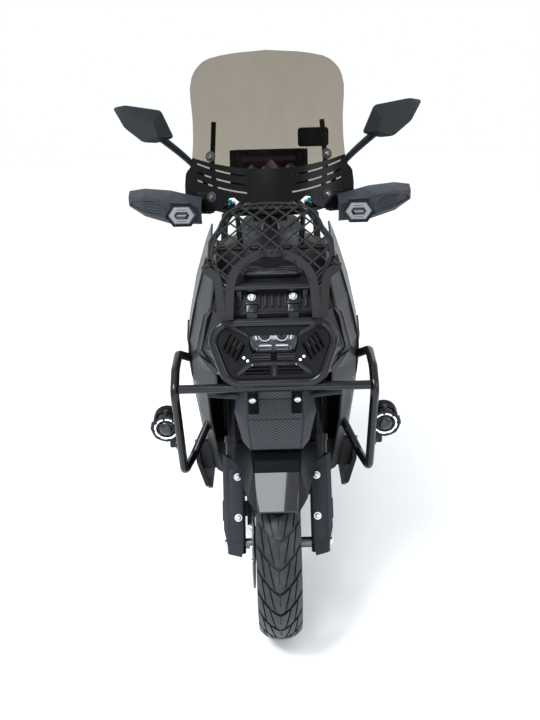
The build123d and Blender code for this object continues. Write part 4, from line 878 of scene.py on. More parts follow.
GRIP_FAR = from_bar(0.352, 0.034, 0.027)
GRIP_NEAR = from_bar(0.165, 0.004, 0.019)
GRIP_ALONG = (GRIP_FAR - GRIP_NEAR).normalized()
sleeves, bar_ends = shapes(2)
for sign in (-1, 1):
    along = Vector((sign * GRIP_ALONG.x, GRIP_ALONG.y, GRIP_ALONG.z))
    far = Vector((sign * GRIP_FAR.x, GRIP_FAR.y, GRIP_FAR.z))
    at = facing(far - along * 0.140, along)
    outline = [(0.0112, 0.0), (0.0215, 0.0), (0.0215, 0.005), (0.0165, 0.007)]
    for ring in range(18):
        base = 0.009 + ring * 0.0062
        outline += [(0.0158, base), (0.0168, base + 0.0014), (0.0168, base + 0.0042), (0.0158, base + 0.0056)]
    outline += [(0.0165, 0.1265), (0.0145, 0.128), (0.0112, 0.128)]
    lathe(sleeves, outline, at, 28)
    tip = [(0.0, -0.010), (0.0108, -0.010), (0.0150, -0.0085), (0.0150, 0.006), (0.0120, 0.011)]
    tip.append((0.0, 0.0115))
    lathe(bar_ends, tip, facing(far - along * 0.002, along), 24)
piece("grip_sleeves", sleeves, "rubber", "steering", ["grips"])
piece("bar_end_weights", bar_ends, "bar_metal", "steering")

cyan, clamps, reservoirs = shapes(3)
for sign in (-1, 1):
    riser = from_bar(sign * 0.112, -0.006, 0.014)
    block(clamps, (0.030, 0.036, 0.034), Matrix.Translation(riser), 0.005)
    bolt(cyan, facing(riser + Vector((0, -0.012, 0.016)), (0, -0.5, 0.85)), 0.0085, 0.008)
    bolt(cyan, facing(riser + Vector((0, 0.010, 0.016)), (0, 0.1, 1.0)), 0.0060, 0.006)
    cup = from_bar(sign * 0.176, -0.026, 0.048)
    block(reservoirs, (0.048, 0.036, 0.024), Matrix.Translation(cup), 0.005)
    block(reservoirs, (0.052, 0.040, 0.007), Matrix.Translation(cup + Vector((0, 0, 0.0145))), 0.002)
    for x, y in ((-0.018, -0.013), (0.018, 0.013)):
        bolt(reservoirs, Matrix.Translation(cup + Vector((x, y, 0.0175))), 0.004, 0.0022)
piece("bar_clamp_blocks", clamps, "bar_metal", "steering")
piece("clamp_bolts", cyan, "cyan_anodised", "steering")
piece("fluid_reservoirs", reservoirs, "black_plastic", "steering")

MIRROR_FACE = -0.034
MIRROR_RIM = ((0.257, 0.216), (0.304, 0.203), (0.342, 0.206), (0.390, 0.246), (0.417, 0.299), (0.384, 0.305),
              (0.288, 0.289))
MIRROR_RIDGE = [from_bar(*row) for row in ((0.300, -0.060, 0.222), (0.308, -0.078, 0.258), (0.402, -0.054, 0.295))]
RIDGE_WIDE = 0.06
STEM_RADIUS = 0.0085
shells = bmesh.new()
rim = [shells.verts.new(from_bar(x, MIRROR_FACE, up)) for x, up in MIRROR_RIM]
shells.faces.new(rim)
bmesh.ops.bevel(shells, geom=rim, offset=0.008, segments=4, profile=0.5, affect="VERTICES", material=-1)
for depth in (0.005, 0.016):
    front = min(shells.faces, key=lambda face: face.calc_center_median().y)
    raised = bmesh.ops.extrude_face_region(shells, geom=[front])["geom"]
    moved = verts_in(raised)
    bmesh.ops.translate(shells, verts=moved, vec=AHEAD * depth)
for vert in moved:
    crests = []
    for low, high in zip(MIRROR_RIDGE, MIRROR_RIDGE[1:]):
        share = (vert.co - low).dot(high - low) / (high - low).length_squared
        crests.append(low.lerp(high, min(1.0, max(0.0, share))))
    crest = min(crests, key=lambda point: (point - vert.co).length)
    off = vert.co - crest
    vert.co = (crest.x + off.x * RIDGE_WIDE, crest.y, crest.z + off.z * RIDGE_WIDE)
bmesh.ops.recalc_face_normals(shells, faces=shells.faces[:])
stem = [(0.178, -0.002, 0.014), (0.184, 0.022, 0.089), (0.228, 0.028, 0.147), (0.318, -0.040, 0.238)]
stem = flow([from_bar(*point) for point in stem], 7)
first = len(shells.verts)
tube(shells, stem, STEM_RADIUS, 14)
shells.verts.ensure_lookup_table()
for vert in shells.verts[first:]:
    step = min(range(len(stem)), key=lambda index: (stem[index] - vert.co).length)
    vert.co = stem[step] + (vert.co - stem[step]) * (0.85 + 0.85 * max(0.0, step / len(stem) - 0.35))
mirrored = bmesh.ops.duplicate(shells, geom=shells.verts[:] + shells.edges[:] + shells.faces[:])["geom"]
turned = [item for item in mirrored if isinstance(item, bmesh.types.BMFace)]
bmesh.ops.scale(shells, verts=verts_in(mirrored), vec=(-1, 1, 1))
bmesh.ops.reverse_faces(shells, faces=turned)
piece("mirror_shells", shells, "mirror_shell", "steering", ["mirrors"], smooth=14.0)

STEM_FOOT = ((0.0, 0.0), (0.0135, 0.0), (0.0145, 0.006), (0.0115, 0.014), (0.0125, 0.020), (0.0095, 0.030),
             (0.0, 0.031))
mirror_joints = bmesh.new()
for sign in (-1, 1):
    lathe(mirror_joints, STEM_FOOT, facing(from_bar(sign * 0.178, -0.001, 0.028), (sign * 0.05, 0.30, 0.95)), 24)
    knuckle = Matrix.Translation(from_bar(sign * 0.316, -0.036, 0.234))
    bmesh.ops.create_uvsphere(mirror_joints, u_segments=20, v_segments=12, radius=0.0125, matrix=knuckle)
piece("mirror_joints", mirror_joints, "black_plastic", "steering")


# Instrument

DIAL_AT = Matrix.Translation(from_bar(0.0, -0.042, 0.129)) @ Matrix.Rotation(-0.35, 4, "X")
dial_glass = bmesh.new()
at = DIAL_AT @ shift(0, 0.0172, 0.0) @ Matrix.Rotation(-math.pi / 2, 4, "X")
slab(dial_glass, [(-0.092, -0.040), (0.092, -0.040), (0.092, 0.040), (-0.092, 0.040)], at, 0.004, 0.0015)
for x in (-0.100, 0.100):
    drum(dial_glass, 0.0055, 0.006, at @ shift(x, 0.0, 0.002), 16, 0.0045)
piece("dial_glass", dial_glass, "dial_glass", "steering")


# Headlamp and its guard

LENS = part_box("headlamp_lens")
lens_y = LENS[0][1]
lamp_z = (LENS[0][2] + LENS[1][2]) / 2
BOWL_FACE = ((-0.055, 0.029), (-0.050, -0.030), (0.050, -0.030), (0.055, 0.029))
BOWL_BACK = (0.52, 0.46)
centre = Vector((0.0, -0.706, lamp_z))
bowl = bmesh.new()
at = facing(centre, AHEAD)
verts = [bowl.verts.new(at @ Vector((x * BOWL_BACK[0], y * BOWL_BACK[1], 0))) for x, y in BOWL_FACE]
back = bowl.faces.new(verts)
walls = bmesh.ops.extrude_edge_only(bowl, edges=back.edges[:])["geom"]
for vert in verts_in(walls):
    offset = vert.co - centre
    vert.co = centre + Vector((offset.x / BOWL_BACK[0], -0.030, offset.z / BOWL_BACK[1]))
bmesh.ops.subdivide_edges(bowl, edges=bowl.edges[:], cuts=1, use_grid_fill=True)
piece("headlamp_bowl", bowl, "reflector", "chassis", smooth=12.0)
led_chips_and_rim_glints, eyes = shapes(2)
for x in (-0.021, 0.021):
    eye_at = facing((x, -0.716, lamp_z + 0.002), AHEAD)
    dome = [(0.0, 0.011), (0.007, 0.0095), (0.012, 0.005), (0.0135, 0.0), (0.0135, -0.006), (0.0, -0.006)]
    lathe(eyes, dome, eye_at, 28)
    # The ring round each eye glows white: a painted highlight standing in for a chrome rim, not a lamp.
    hoop(led_chips_and_rim_glints, 0.0150, 0.0012, eye_at @ shift(0, 0, 0.001), 32, 8)
    block(led_chips_and_rim_glints, (0.004, 0.006, 0.016), spot(x * 2.05, -0.728, lamp_z + 0.002, (0, x * 600, 0)), 0.001)
    block(led_chips_and_rim_glints, (0.030, 0.005, 0.0025), spot(x * 0.95, -0.733, lamp_z - 0.0195), 0.0008)
piece("headlamp_eyes", eyes, "projector_glass", "chassis")
piece("headlamp_elements", led_chips_and_rim_glints, "lamp_white", "chassis")
corners = bmesh.new()
reach, low, tall = LENS[1][0] + 0.001, LENS[0][2] - 0.001, LENS[1][2] - LENS[0][2]
shelf, top = low + tall * 0.72, low + tall + 0.002
wedges = (
    ((reach, low), (reach, shelf), (reach - 0.004, shelf), (reach - 0.017, low)),
    ((reach, top), (reach - 0.010, top), (reach, low + tall * 0.78)),
)
for sign in (-1, 1):
    for wedge in wedges:
        slab(corners, sided(sign, wedge), spot(0, lens_y - 0.0005, 0, (90, 0, 0)), 0.003, 0.0008)
piece("lens_corners", corners, "nose_black", "chassis")
brows = bmesh.new()
for x in both((0.024, 0.044)):
    block(brows, (0.017, 0.004, 0.004), spot(x, lens_y - 0.0005, lamp_z + 0.0365), 0.001)
block(brows, (0.006, 0.004, 0.004), spot(0.0, lens_y - 0.0005, lamp_z + 0.0365), 0.001)
piece("lamp_brow_lights", brows, "lamp_white", "chassis")

HOOP_CENTRE = Vector((0.0, -0.780, 0.823))
HOOP_NORMAL = Vector((0.0, -0.974, 0.225)).normalized()
hoop_at = facing(HOOP_CENTRE, HOOP_NORMAL)
GUARD_ARMS = (
    (((0.058, 0.036), (0.072, 0.044), (0.116, 0.066), (0.108, 0.072), (0.064, 0.050)), 0.007, 0.0015),
    (((0.050, -0.024), (0.060, -0.020), (0.092, -0.046), (0.088, -0.056), (0.056, -0.034)), 0.006, 0.0012),
)


def on_guard(x, y, lift=0.0):
    return hoop_at @ Vector((x, y, lift))


braces, lips = shapes(2)
for sign in (-1, 1):
    for outline, thick, bevel in GUARD_ARMS:
        slab(braces, sided(sign, outline), hoop_at @ shift(0, 0, 0.0005), thick, bevel)
    for step in range(4):
        centre = on_guard(sign * (0.080 + 0.010 * step), 0.009 * step, 0.0022)
        turn = Matrix.Rotation(math.radians(sign * -62.0), 4, "Z")
        at = Matrix.Translation(centre) @ hoop_at.to_3x3().to_4x4() @ turn
        for y in (0.0045, -0.0045):
            block(lips, (0.050, 0.0022, 0.005), at @ shift(0, y, 0), 0.0008)
block(braces, (0.010, 0.034, 0.007), hoop_at @ shift(0, -0.042, 0.002), 0.0015)
block(braces, (0.104, 0.008, 0.007), hoop_at @ shift(0, -0.027, 0.002), 0.0015)
for x in (-0.040, 0.040):
    for y in (-0.040, -0.049):
        block(lips, (0.060, 0.0026, 0.004), hoop_at @ shift(x, y, 0.001), 0.0008)
piece("guard_braces", braces, "guard_black", "chassis")
piece("guard_louvres", lips, "grille_black", "chassis")
dots = bmesh.new()
for sign in (-1, 1):
    for step in range(3):
        at = hoop_at @ shift(sign * (0.072 - 0.009 * step), -0.012 - 0.008 * step, 0.002)
        lathe(dots, [(0.0, 0.0), (0.0034, 0.0), (0.0029, 0.002), (0.0, 0.0026)], at, 14)
piece("guard_marker_lights", dots, "lamp_white", "chassis")


# Nose edges, ribbed brow and its straps

NOSE_EDGE = ((0.150, 0.905), (0.172, 0.896), (0.196, 0.804), (0.152, 0.736), (0.140, 0.744), (0.178, 0.805),
             (0.157, 0.884))
NOSE_STEP = ((0.166, 0.862), (0.186, 0.804), (0.150, 0.750), (0.144, 0.754), (0.172, 0.805), (0.156, 0.858))
edges_trim = bmesh.new()
for sign in (-1, 1):
    slab(edges_trim, sided(sign, NOSE_EDGE), spot(0, -0.688, 0, (90, 0, 0)), 0.012, 0.003)
    slab(edges_trim, sided(sign * 0.93, NOSE_STEP), spot(0, -0.700, 0, (90, 0, 0)), 0.008, 0.002)
piece("nose_edge_trim", edges_trim, "nose_black", "chassis")

BROW_LOW = Vector((0.0, -0.744, 0.905))
BROW_HIGH = Vector((0.0, -0.690, 0.966))
brow_up = (BROW_HIGH - BROW_LOW).normalized()
brow_out = Vector((1, 0, 0)).cross(brow_up)
brow_at = facing((BROW_LOW + BROW_HIGH) / 2, brow_out, brow_up)
lip = bmesh.new()
block(lip, (0.142, 0.030, 0.022), spot(0, -0.656, 0.988, (18, 0, 0)), 0.009, 3)
piece("nose_lip", lip, "nose_black", "chassis")
brow_ribs = bmesh.new()
for step in range(-5, 6):
    if abs(step) == 3:
        continue
    block(brow_ribs, (0.0085, 0.050, 0.005), brow_at @ shift(step * 0.0165, 0.004, 0.0012), 0.002)
block(brow_ribs, (0.206, 0.008, 0.006), brow_at @ shift(0, -0.036, 0.001), 0.0025)
block(brow_ribs, (0.200, 0.009, 0.008), brow_at @ shift(0, 0.040, 0.001), 0.0035)
piece("brow_ribs", brow_ribs, "black_plastic", "chassis")
tabs, tab_bolts = shapes(2)
for x in (-0.050, 0.050):
    block(tabs, (0.026, 0.056, 0.004), brow_at @ shift(x, -0.008, 0.005), 0.0014)
    block(tabs, (0.030, 0.004, 0.010), brow_at @ shift(x, -0.014, 0.006), 0.001)
    bolt(tab_bolts, brow_at @ shift(x, 0.004, 0.007), 0.0078, 0.0066, 0.0095)
piece("brow_tabs", tabs, "guard_black", "chassis")

# Height, place along and half width of each fold of the panel
CHEVRON_ROWS = (
    (0.738, -0.690, 0.070), (0.66852, -0.700, 0.071), (0.61834, -0.716, 0.074), (0.545, -0.738, 0.066)
)
VEE_ANGLE = math.radians(33.0)
VEE_PITCH = 0.0072


def chevron_facet(bm, top, low):
    """Vee ribs on one facet of the panel, cut to the facet's outline."""
    upper = Vector((0, top[1], top[0]))
    lower = Vector((0, low[1], low[0]))
    up = (upper - lower).normalized()
    out = Vector((1, 0, 0)).cross(up)
    at = facing((upper + lower) / 2, out, up)
    tall = (upper - lower).length
    ribs = bmesh.new()
    reach = 0.115
    count = int((tall + reach) / VEE_PITCH) + 2
    for number in range(count):
        foot = -tall / 2 - reach * 0.7 + number * VEE_PITCH
        for sign in (-1, 1):
            arm = shift(0, foot, 0.0004) @ Matrix.Rotation(sign * VEE_ANGLE, 4, "Z")
            middle = shift(sign * reach / 2, 0, 0)
            block(ribs, (reach, 0.0032, 0.0056), at @ arm @ middle)
    half = (top[2] + low[2]) / 2 - 0.006
    lean = Vector((tall, top[2] - low[2], 0)).normalized()
    cuts = [
        ((0, tall / 2 - 0.002, 0), (0, 1, 0)),
        ((0, -tall / 2 + 0.002, 0), (0, -1, 0)),
        ((half, 0, 0), (lean.x, -lean.y, 0)),
        ((-half, 0, 0), (-lean.x, -lean.y, 0)),
    ]
    for point, normal in cuts:
        geom = ribs.verts[:] + ribs.edges[:] + ribs.faces[:]
        bmesh.ops.bisect_plane(
            ribs,
            geom=geom,
            plane_co=at @ Vector(point),
            plane_no=at.to_3x3() @ Vector(normal),
            clear_outer=True,
        )
        bmesh.ops.holes_fill(ribs, edges=[edge for edge in ribs.edges if edge.is_boundary], sides=0)
    mesh = bpy.data.meshes.new("vee_ribs")
    ribs.to_mesh(mesh)
    ribs.free()
    bm.from_mesh(mesh)
    bpy.data.meshes.remove(mesh)


vees = bmesh.new()
for top, low in zip(CHEVRON_ROWS, CHEVRON_ROWS[1:]):
    chevron_facet(vees, top, low)
piece("chevron_ribs", vees, "rib_gloss", "chassis", smooth=20.0)
for x in (-0.0555, 0.0555):
    bolt(tab_bolts, facing((x, -0.762, 0.694), (0, -0.85, -0.40)), 0.0092, 0.0072, 0.0115)
piece("nose_bolts", tab_bolts, "bright_steel", "chassis")


# Fork guards

teeth, fork_bolts, panels = shapes(3)
GUARD_FRONT = -0.05815
FORK_PANEL = ((0.093, 0.004), (0.122, 0.006), (0.131, 0.050), (0.131, 0.196), (0.120, 0.202), (0.098, 0.190),
              (0.093, 0.172))
for sign in (-1, 1):
    for up in (0.070, 0.178):
        point = steer(sign * 0.106, GUARD_FRONT - 0.001, AXLE_UP + up)
        bolt(fork_bolts, facing(point, -STEER_BACK), 0.0072, 0.0060, 0.0100)
    turn = Matrix((Vector((1, 0, 0)), STEER_UP, -STEER_BACK)).transposed().to_4x4()
    at = Matrix.Translation(steer(0, GUARD_FRONT, AXLE_UP)) @ turn
    slab(panels, sided(sign, FORK_PANEL), at @ shift(0, 0, -0.0015), 0.004, 0.0016)
    for step in range(4):
        lump = steer(sign * 0.1455, GUARD_FRONT + 0.020, AXLE_UP + 0.070 + 0.013 * step)
        block(teeth, (0.006, 0.016, 0.007), facing(lump, (sign, 0, 0), STEER_UP), 0.002)
piece("fork_guard_bolts", fork_bolts, "bright_steel", "steering")
piece("fork_guard_panels", panels, "slate_plastic", "steering")
piece("fork_guard_teeth", teeth, "slate_plastic", "steering")


# Fog lamps

FOG = Vector((0.277, -0.722, 0.608))
FOG_OUT = Vector((0.0, -0.985, -0.17)).normalized()
FOG_DOME = ((0.0, 0.016), (0.009, 0.0148), (0.016, 0.0112), (0.0205, 0.0055), (0.0215, 0.0), (0.0, 0.0))
halo, projector, cradle = shapes(3)
for sign in (-1, 1):
    centre = Vector((sign * FOG.x, FOG.y, FOG.z))
    at = facing(centre, FOG_OUT)
    hoop(halo, 0.0285, 0.0024, at @ shift(0, 0, 0.0090), 44, 10)
    lathe(projector, FOG_DOME, at @ shift(0, 0, 0.001), 32)
    for fin in around(at, 8):
        block(cradle, (0.009, 0.010, 0.030), fin @ shift(0.0355, 0, -0.006), 0.002)
        drum(cradle, 0.0034, 0.004, fin @ shift(0.031, 0.004, 0.0108), 10)
    hoop(cradle, 0.0345, 0.0034, at @ shift(0, 0, 0.0085), 44, 8)
    drum(cradle, 0.019, 0.016, at @ shift(0, 0, -0.058), 20, 0.024)
piece("fog_lamp_halos", halo, "lamp_white", "chassis")
piece("fog_lamp_projectors", projector, "projector_glass", "chassis")
piece("fog_lamp_cradles", cradle, "lamp_body", "chassis")


# Cargo net and its straps

RACK_AT = facing((0.0, -0.716, 0.966), (0.0, -0.151, 0.216), (0.0, 0.216, 0.151))
RACK_LONG = math.hypot(0.216, 0.151)
RACK_UP = RACK_AT.col[2].to_3d()
NET_EDGE = [(0.100, 0.006), (0.142, 0.068), (0.140, 0.150), (0.088, RACK_LONG - 0.006)]
NET_EDGE += [(-x, y) for x, y in reversed(NET_EDGE)]
NET_PITCH = 0.030


def on_rack(x, y, lift):
    return RACK_AT @ Vector((x, y, lift))


def net_lift(x, y):
    swell = max(0.0, 1 - (x / 0.15) ** 2) * max(0.0, 1 - ((y - 0.13) / 0.14) ** 2)
    return 0.0105 + 0.012 * swell


def clip(start, ahead, outline):
    """The stretch of a line inside a convex outline that runs anticlockwise."""
    low, high = -1.0, 1.0
    for (x0, y0), (x1, y1) in zip(outline, outline[1:] + outline[:1]):
        nx, ny = y0 - y1, x1 - x0
        rate = nx * ahead[0] + ny * ahead[1]
        room = nx * (start[0] - x0) + ny * (start[1] - y0)
        if abs(rate) < 1e-9:
            if room < 0:
                return None
        elif rate > 0:
            low = max(low, -room / rate)
        else:
            high = min(high, -room / rate)
    return (low, high) if high - low > 0.02 else None


def arch_line(x):
    """How far along the rack the front edge of the net lies, at a distance out."""
    return 0.088 * max(0.0, 1 - (abs(x) / 0.094) ** 2)


net = bmesh.new()
slope = math.radians(48.0)
for sign in (-1, 1):
    ahead = (sign * math.cos(slope), math.sin(slope))
    for step in range(-11, 12):
        aside = step * NET_PITCH * sign
        start = (-ahead[1] * aside, RACK_LONG / 2 + ahead[0] * aside)
        span = clip(start, ahead, NET_EDGE)
        if span is None:
            continue
        runs = [[]]
        for share in range(33):
            reach = span[0] + (span[1] - span[0]) * share / 32
            x, y = start[0] + ahead[0] * reach, start[1] + ahead[1] * reach
            if y < arch_line(x):
                runs.append([])
            else:
                runs[-1].append(on_rack(x, y, net_lift(x, y) + sign * 0.0012))
        for line in runs:
            if len(line) > 3:
                tube(net, line[:-1:2] + line[-1:], 0.0026, 8)
                for point in (line[0], line[-1]):
                    hoop(net, 0.0048, 0.0016, facing(point, (ahead[1], -ahead[0], 0.2)), 12, 6)
border = flow([on_rack(x, y, 0.0105) for x, y in NET_EDGE], 6)
tube(net, border, 0.0034, 8)
piece("cargo_net_cords", net, "net_cord", "chassis", ["cargo_net"])

HOOP_TOP = Vector((0.0, -0.764, 0.893))
STRAP_UP = RACK_UP + AHEAD * 0.4


def from_hoop(x, back, up):
    return HOOP_TOP + Vector((x, back, up))


straps, hooks = shapes(2)
arch = [from_hoop(0.105, -0.013, 0.012), from_hoop(0.104, -0.004, 0.034)]
arch += [on_rack(0.098, 0.010, 0.015), on_rack(0.078, 0.052, 0.018), on_rack(0.042, 0.080, 0.021)]
arch += [on_rack(0.0, 0.090, 0.022)]
arch += [Vector((-point.x, point.y, point.z)) for point in reversed(arch[:-1])]
arch = flow(arch, 5)
ribbon(straps, arch, [STRAP_UP] * len(arch), 0.022, 0.0024)
for sign in (-1, 1):
    side = [from_hoop(sign * 0.112, -0.013, 0.006), from_hoop(sign * 0.122, -0.004, 0.030)]
    side += [on_rack(sign * 0.132, 0.014, 0.016), on_rack(sign * 0.158, 0.052, 0.006)]
    side += [on_rack(sign * 0.163, 0.080, -0.003)]
    side = flow(side, 5)
    ribbon(straps, side, [STRAP_UP + Vector((sign * 0.5, 0, 0))] * len(side), 0.021, 0.0024)
    for x in (0.105, 0.113):
        hoop(hooks, 0.0137, 0.0024, facing(from_hoop(sign * x, -0.001, -0.001), (1, 0, 0)), 28, 8)
    block(hooks, (0.026, 0.008, 0.012), facing(from_hoop(sign * 0.108, -0.014, 0.006), AHEAD), 0.002)
    for y in (0.062, 0.086):
        hoop(hooks, 0.0105, 0.0020, facing(on_rack(sign * 0.152, y, 0), RACK_AT.col[1].to_3d()), 24, 8)
for x in (-0.020, 0.020):
    block(hooks, (0.016, 0.022, 0.007), RACK_AT @ shift(x, 0.086, 0.0225), 0.0015)
piece("cargo_straps", straps, "webbing", "chassis")
piece("strap_hooks", hooks, "black_plastic", "chassis")


# Seat

SEAT_SLOPE = 0.13
CLOTH_FRAMES = 20
SEAT_CUT = Vector((0.0, -0.066, 0.717))
SEAT_NORMAL = Vector((0.0, -SEAT_SLOPE, 1.0)).normalized()


def half_of_seat(keep_top):
    bm = bmesh.new()
    bm.from_mesh(NODE["seat"].data)
    bmesh.ops.remove_doubles(bm, verts=bm.verts[:], dist=1e-5)
    bmesh.ops.bisect_plane(
        bm,
        geom=bm.verts[:] + bm.edges[:] + bm.faces[:],
        dist=1e-6,
        plane_co=SEAT_CUT,
        plane_no=SEAT_NORMAL,
        clear_inner=keep_top,
        clear_outer=not keep_top,
    )
    bmesh.ops.holes_fill(bm, edges=[edge for edge in bm.edges if edge.is_boundary], sides=0)
    return bm


def baked(source):
    mesh = bpy.data.meshes.new_from_object(source.evaluated_get(bpy.context.evaluated_depsgraph_get()))
    mesh.materials.clear()
    return mesh


def swollen(bm, voxel, pressure, cap):
    """A stuffed cover: remeshed, blown up as cloth from its held base, then capped."""
    bmesh.ops.recalc_face_normals(bm, faces=bm.faces[:])
    mesh = bpy.data.meshes.new("foam")
    bm.to_mesh(mesh)
    bm.free()
    foam = bpy.data.objects.new("foam", mesh)
    bpy.context.collection.objects.link(foam)
    remesh = foam.modifiers.new("even", "REMESH")
    remesh.mode = "VOXEL"
    remesh.voxel_size = voxel
    even = baked(foam)
    foam.modifiers.clear()
    foam.data = even
    bpy.data.meshes.remove(mesh)
    even.update()
    still = [vert.co.copy() for vert in even.vertices]
    smaller = [vert.co - vert.normal * 0.004 for vert in even.vertices]
    lift = [(co - SEAT_CUT).dot(SEAT_NORMAL) for co in still]
    for vert, co, up in zip(even.vertices, smaller, lift):
        vert.co = co if up > 0.008 else vert.co
    held = foam.vertex_groups.new(name="held")
    held.add([index for index, up in enumerate(lift) if up < 0.014], 1.0, "REPLACE")
    cloth = foam.modifiers.new("stuffing", "CLOTH")
    cloth.settings.use_pressure = True
    cloth.settings.uniform_pressure_force = pressure
    cloth.settings.vertex_group_mass = "held"
    cloth.settings.effector_weights.gravity = 0.0
    cloth.point_cache.frame_start = 1
    cloth.point_cache.frame_end = CLOTH_FRAMES
    for number in range(1, CLOTH_FRAMES + 1):
        bpy.context.scene.frame_set(number)
    blown = baked(foam)
    for vert, co in zip(blown.vertices, still):
        away = vert.co - co
        if away.length > cap:
            vert.co = co + away * (cap / away.length)
    foam.modifiers.clear()
    foam.data = blown
    bpy.data.meshes.remove(even)
    bpy.context.scene.frame_set(1)
    done = bmesh.new()
    done.from_mesh(foam.data)
    data = foam.data
    bpy.data.objects.remove(foam)
    bpy.data.meshes.remove(data)
    for _ in range(3):
        bmesh.ops.smooth_vert(
            done, verts=done.verts[:], factor=0.5, use_axis_x=True, use_axis_y=True, use_axis_z=True
        )
    return done


tray = half_of_seat(False)
piece("seat_tray", tray, "black_plastic", "seat")
cover = swollen(half_of_seat(True), 0.006, 4.0, 0.008)
bmesh.ops.recalc_face_normals(cover, faces=cover.faces[:])
hide = BVHTree.FromBMesh(cover)
cushion = piece("seat_cushion", cover, "seat_cover", "seat", ["seat"], smooth=80.0)
finer = cushion.modifiers.new("rounder", "SUBSURF")
finer.levels = 1
finer.render_levels = 1


def laid(x, y):
    hit = hide.ray_cast(Vector((x, y, 1.2)), Vector((0, 0, -1)))
    return hit[0], hit[1]


def beside(sign, y, up):
    z = SEAT_CUT.z + (y + 0.066) * SEAT_SLOPE + up
    return hide.ray_cast(Vector((sign * 0.4, y, z)), Vector((-sign, 0, 0)))[0]


SEAM_ROWS = ((-0.030, 0.046), (0.060, 0.074), (0.160, 0.088), (0.250, 0.092), (0.330, 0.086), (0.450, 0.080),
             (0.560, 0.072), (0.650, 0.056))
piping, stitches = shapes(2)
for sign in (-1, 1):
    line = [laid(sign * x, y)[0] for y, x in SEAM_ROWS]
    tube(piping, flow([point + Vector((0, 0, 0.0004)) for point in line], 6), 0.0030, 8)
    line = [beside(sign, -0.02 + 0.095 * step, 0.030) for step in range(8)]
    tube(piping, flow([point for point in line if point], 6), 0.0026, 8)
    run = flow([laid(sign * (x - 0.008), y)[0] for y, x in SEAM_ROWS], 22)
    for point, ahead in zip(run[::2], run[1::2]):
        along = ahead - point
        tube(stitches, [point - along * 0.35, point + along * 0.35], 0.0007, 4)
for y in (0.055, 0.262, 0.345):
    line = [laid(x * 0.012, y - 0.012 * (1 - (x / 8) ** 2)) for x in range(-8, 9)]
    tube(piping, [point[0] for point in line if point[0]], 0.0024, 8)
piece("seat_piping", piping, "rubber", "seat")
piece("seat_stitches", stitches, "webbing", "seat", smooth=180.0)


# Floor mats, leg shield and tunnel fittings

def floor_top(y):
    return 0.346 + (y + 0.404) * (0.334 - 0.346) / 0.464


mats = bmesh.new()
for sign in (-1, 1):
    for step in range(9):
        x = sign * (0.122 + 0.0105 * step)
        path = [(x, y, floor_top(y) + 0.0012) for y in (-0.300, -0.120, 0.050)]
        tube(mats, path, 0.0024, 6)
    for y in (-0.312, 0.058):
        path = [(sign * x, y, floor_top(y) + 0.001) for x in (0.116, 0.212)]
        tube(mats, path, 0.0034, 8)
    for x in (0.113, 0.215):
        path = [(sign * x, y, floor_top(y) + 0.001) for y in (-0.312, 0.058)]
        tube(mats, path, 0.0034, 8)
piece("floor_mats", mats, "rubber", "chassis")

SHIELD_OUT = Vector((0.0, 0.97, 0.19))
BAG_HOOK = ((0, 0.012, 0), (0, 0.010, 0.020), (0, -0.008, 0.034), (0, -0.024, 0.028), (0, -0.026, 0.014))
KEY_RING = ((0.0, 0.004), (0.024, 0.004), (0.027, 0.0), (0.029, 0.006), (0.024, 0.012), (0.014, 0.013),
            (0.013, 0.009), (0.0, 0.009))


def tapered(low_half, high_half, low, high):
    return [(-low_half, low), (low_half, low), (high_half, high), (-high_half, high)]


shield_kit, shield_metal = shapes(2)
lid_at = facing((0.052, -0.286, 0.690), SHIELD_OUT)
slab(shield_kit, tapered(0.044, 0.052, -0.060, 0.060), lid_at, 0.008, 0.004)
block(shield_kit, (0.034, 0.012, 0.010), lid_at @ shift(0, 0.046, 0.008), 0.003)
pocket_at = facing((-0.058, -0.286, 0.690), SHIELD_OUT)
slab(shield_kit, tapered(0.042, 0.046, -0.060, 0.030), pocket_at, 0.007, 0.003)
hook_at = facing((0.0, -0.272, 0.772), SHIELD_OUT)
tube(shield_metal, flow([hook_at @ Vector(point) for point in BAG_HOOK], 5), 0.0042, 10)
slab(shield_kit, tapered(0.016, 0.016, -0.022, 0.026), hook_at, 0.005, 0.002)
key_at = facing((-0.072, -0.254, 0.842), SHIELD_OUT)
lathe(shield_kit, KEY_RING, key_at, 32)
block(shield_metal, (0.003, 0.018, 0.002), key_at @ shift(0, 0, 0.010))
piece("leg_shield_fittings", shield_kit, "black_plastic", "chassis")
piece("leg_shield_metal", shield_metal, "steel", "chassis")

# Place along, then distance out and height at the panel's upper and lower edge
PANEL_ROWS = (
    (-0.010, 0.106, 0.696, 0.116, 0.420), (0.120, 0.150, 0.718, 0.176, 0.420),
    (0.300, 0.164, 0.742, 0.182, 0.520), (0.500, 0.150, 0.768, 0.160, 0.630), (0.740, 0.112, 0.800, 0.114, 0.720),
)
COWL_LINE = ((0.2145, -0.600, 0.700), (0.2165, -0.605, 0.736), (0.2165, -0.610, 0.803), (0.1945, -0.592, 0.906),
             (0.1685, -0.540, 1.000))
seams = bmesh.new()
for sign in (-1, 1):
    for share in (0.30, 0.62):
        line = [Vector((sign * (x0 + (x1 - x0) * share + 0.0008), y, z0 + (z1 - z0) * share))
                for y, x0, z0, x1, z1 in PANEL_ROWS]
        tube(seams, flow(line, 6), 0.0030, 8)
    for z, x, y in ((0.560, 0.1870, 0.170), (0.640, 0.1745, 0.330), (0.712, 0.146, 0.560)):
        bolt(seams, facing((sign * x, y, z), (sign, 0, 0)), 0.006, 0.004, 0.009)
    tube(seams, flow([Vector((sign * x, y, z)) for x, y, z in COWL_LINE], 6), 0.0026, 8)
    for step in range(4):
        y0 = -0.455 + 0.020 * step
        splay = (y0 + 0.43) * 0.14
        ends = ((0.2365, 0.0, 0.730), (0.2325, 0.012, 0.786))
        vent = [Vector((sign * (x + splay), y0 + y, z)) for x, y, z in ends]
        tube(seams, vent, 0.0030, 8)
piece("panel_lines", seams, "black_plastic", "chassis")


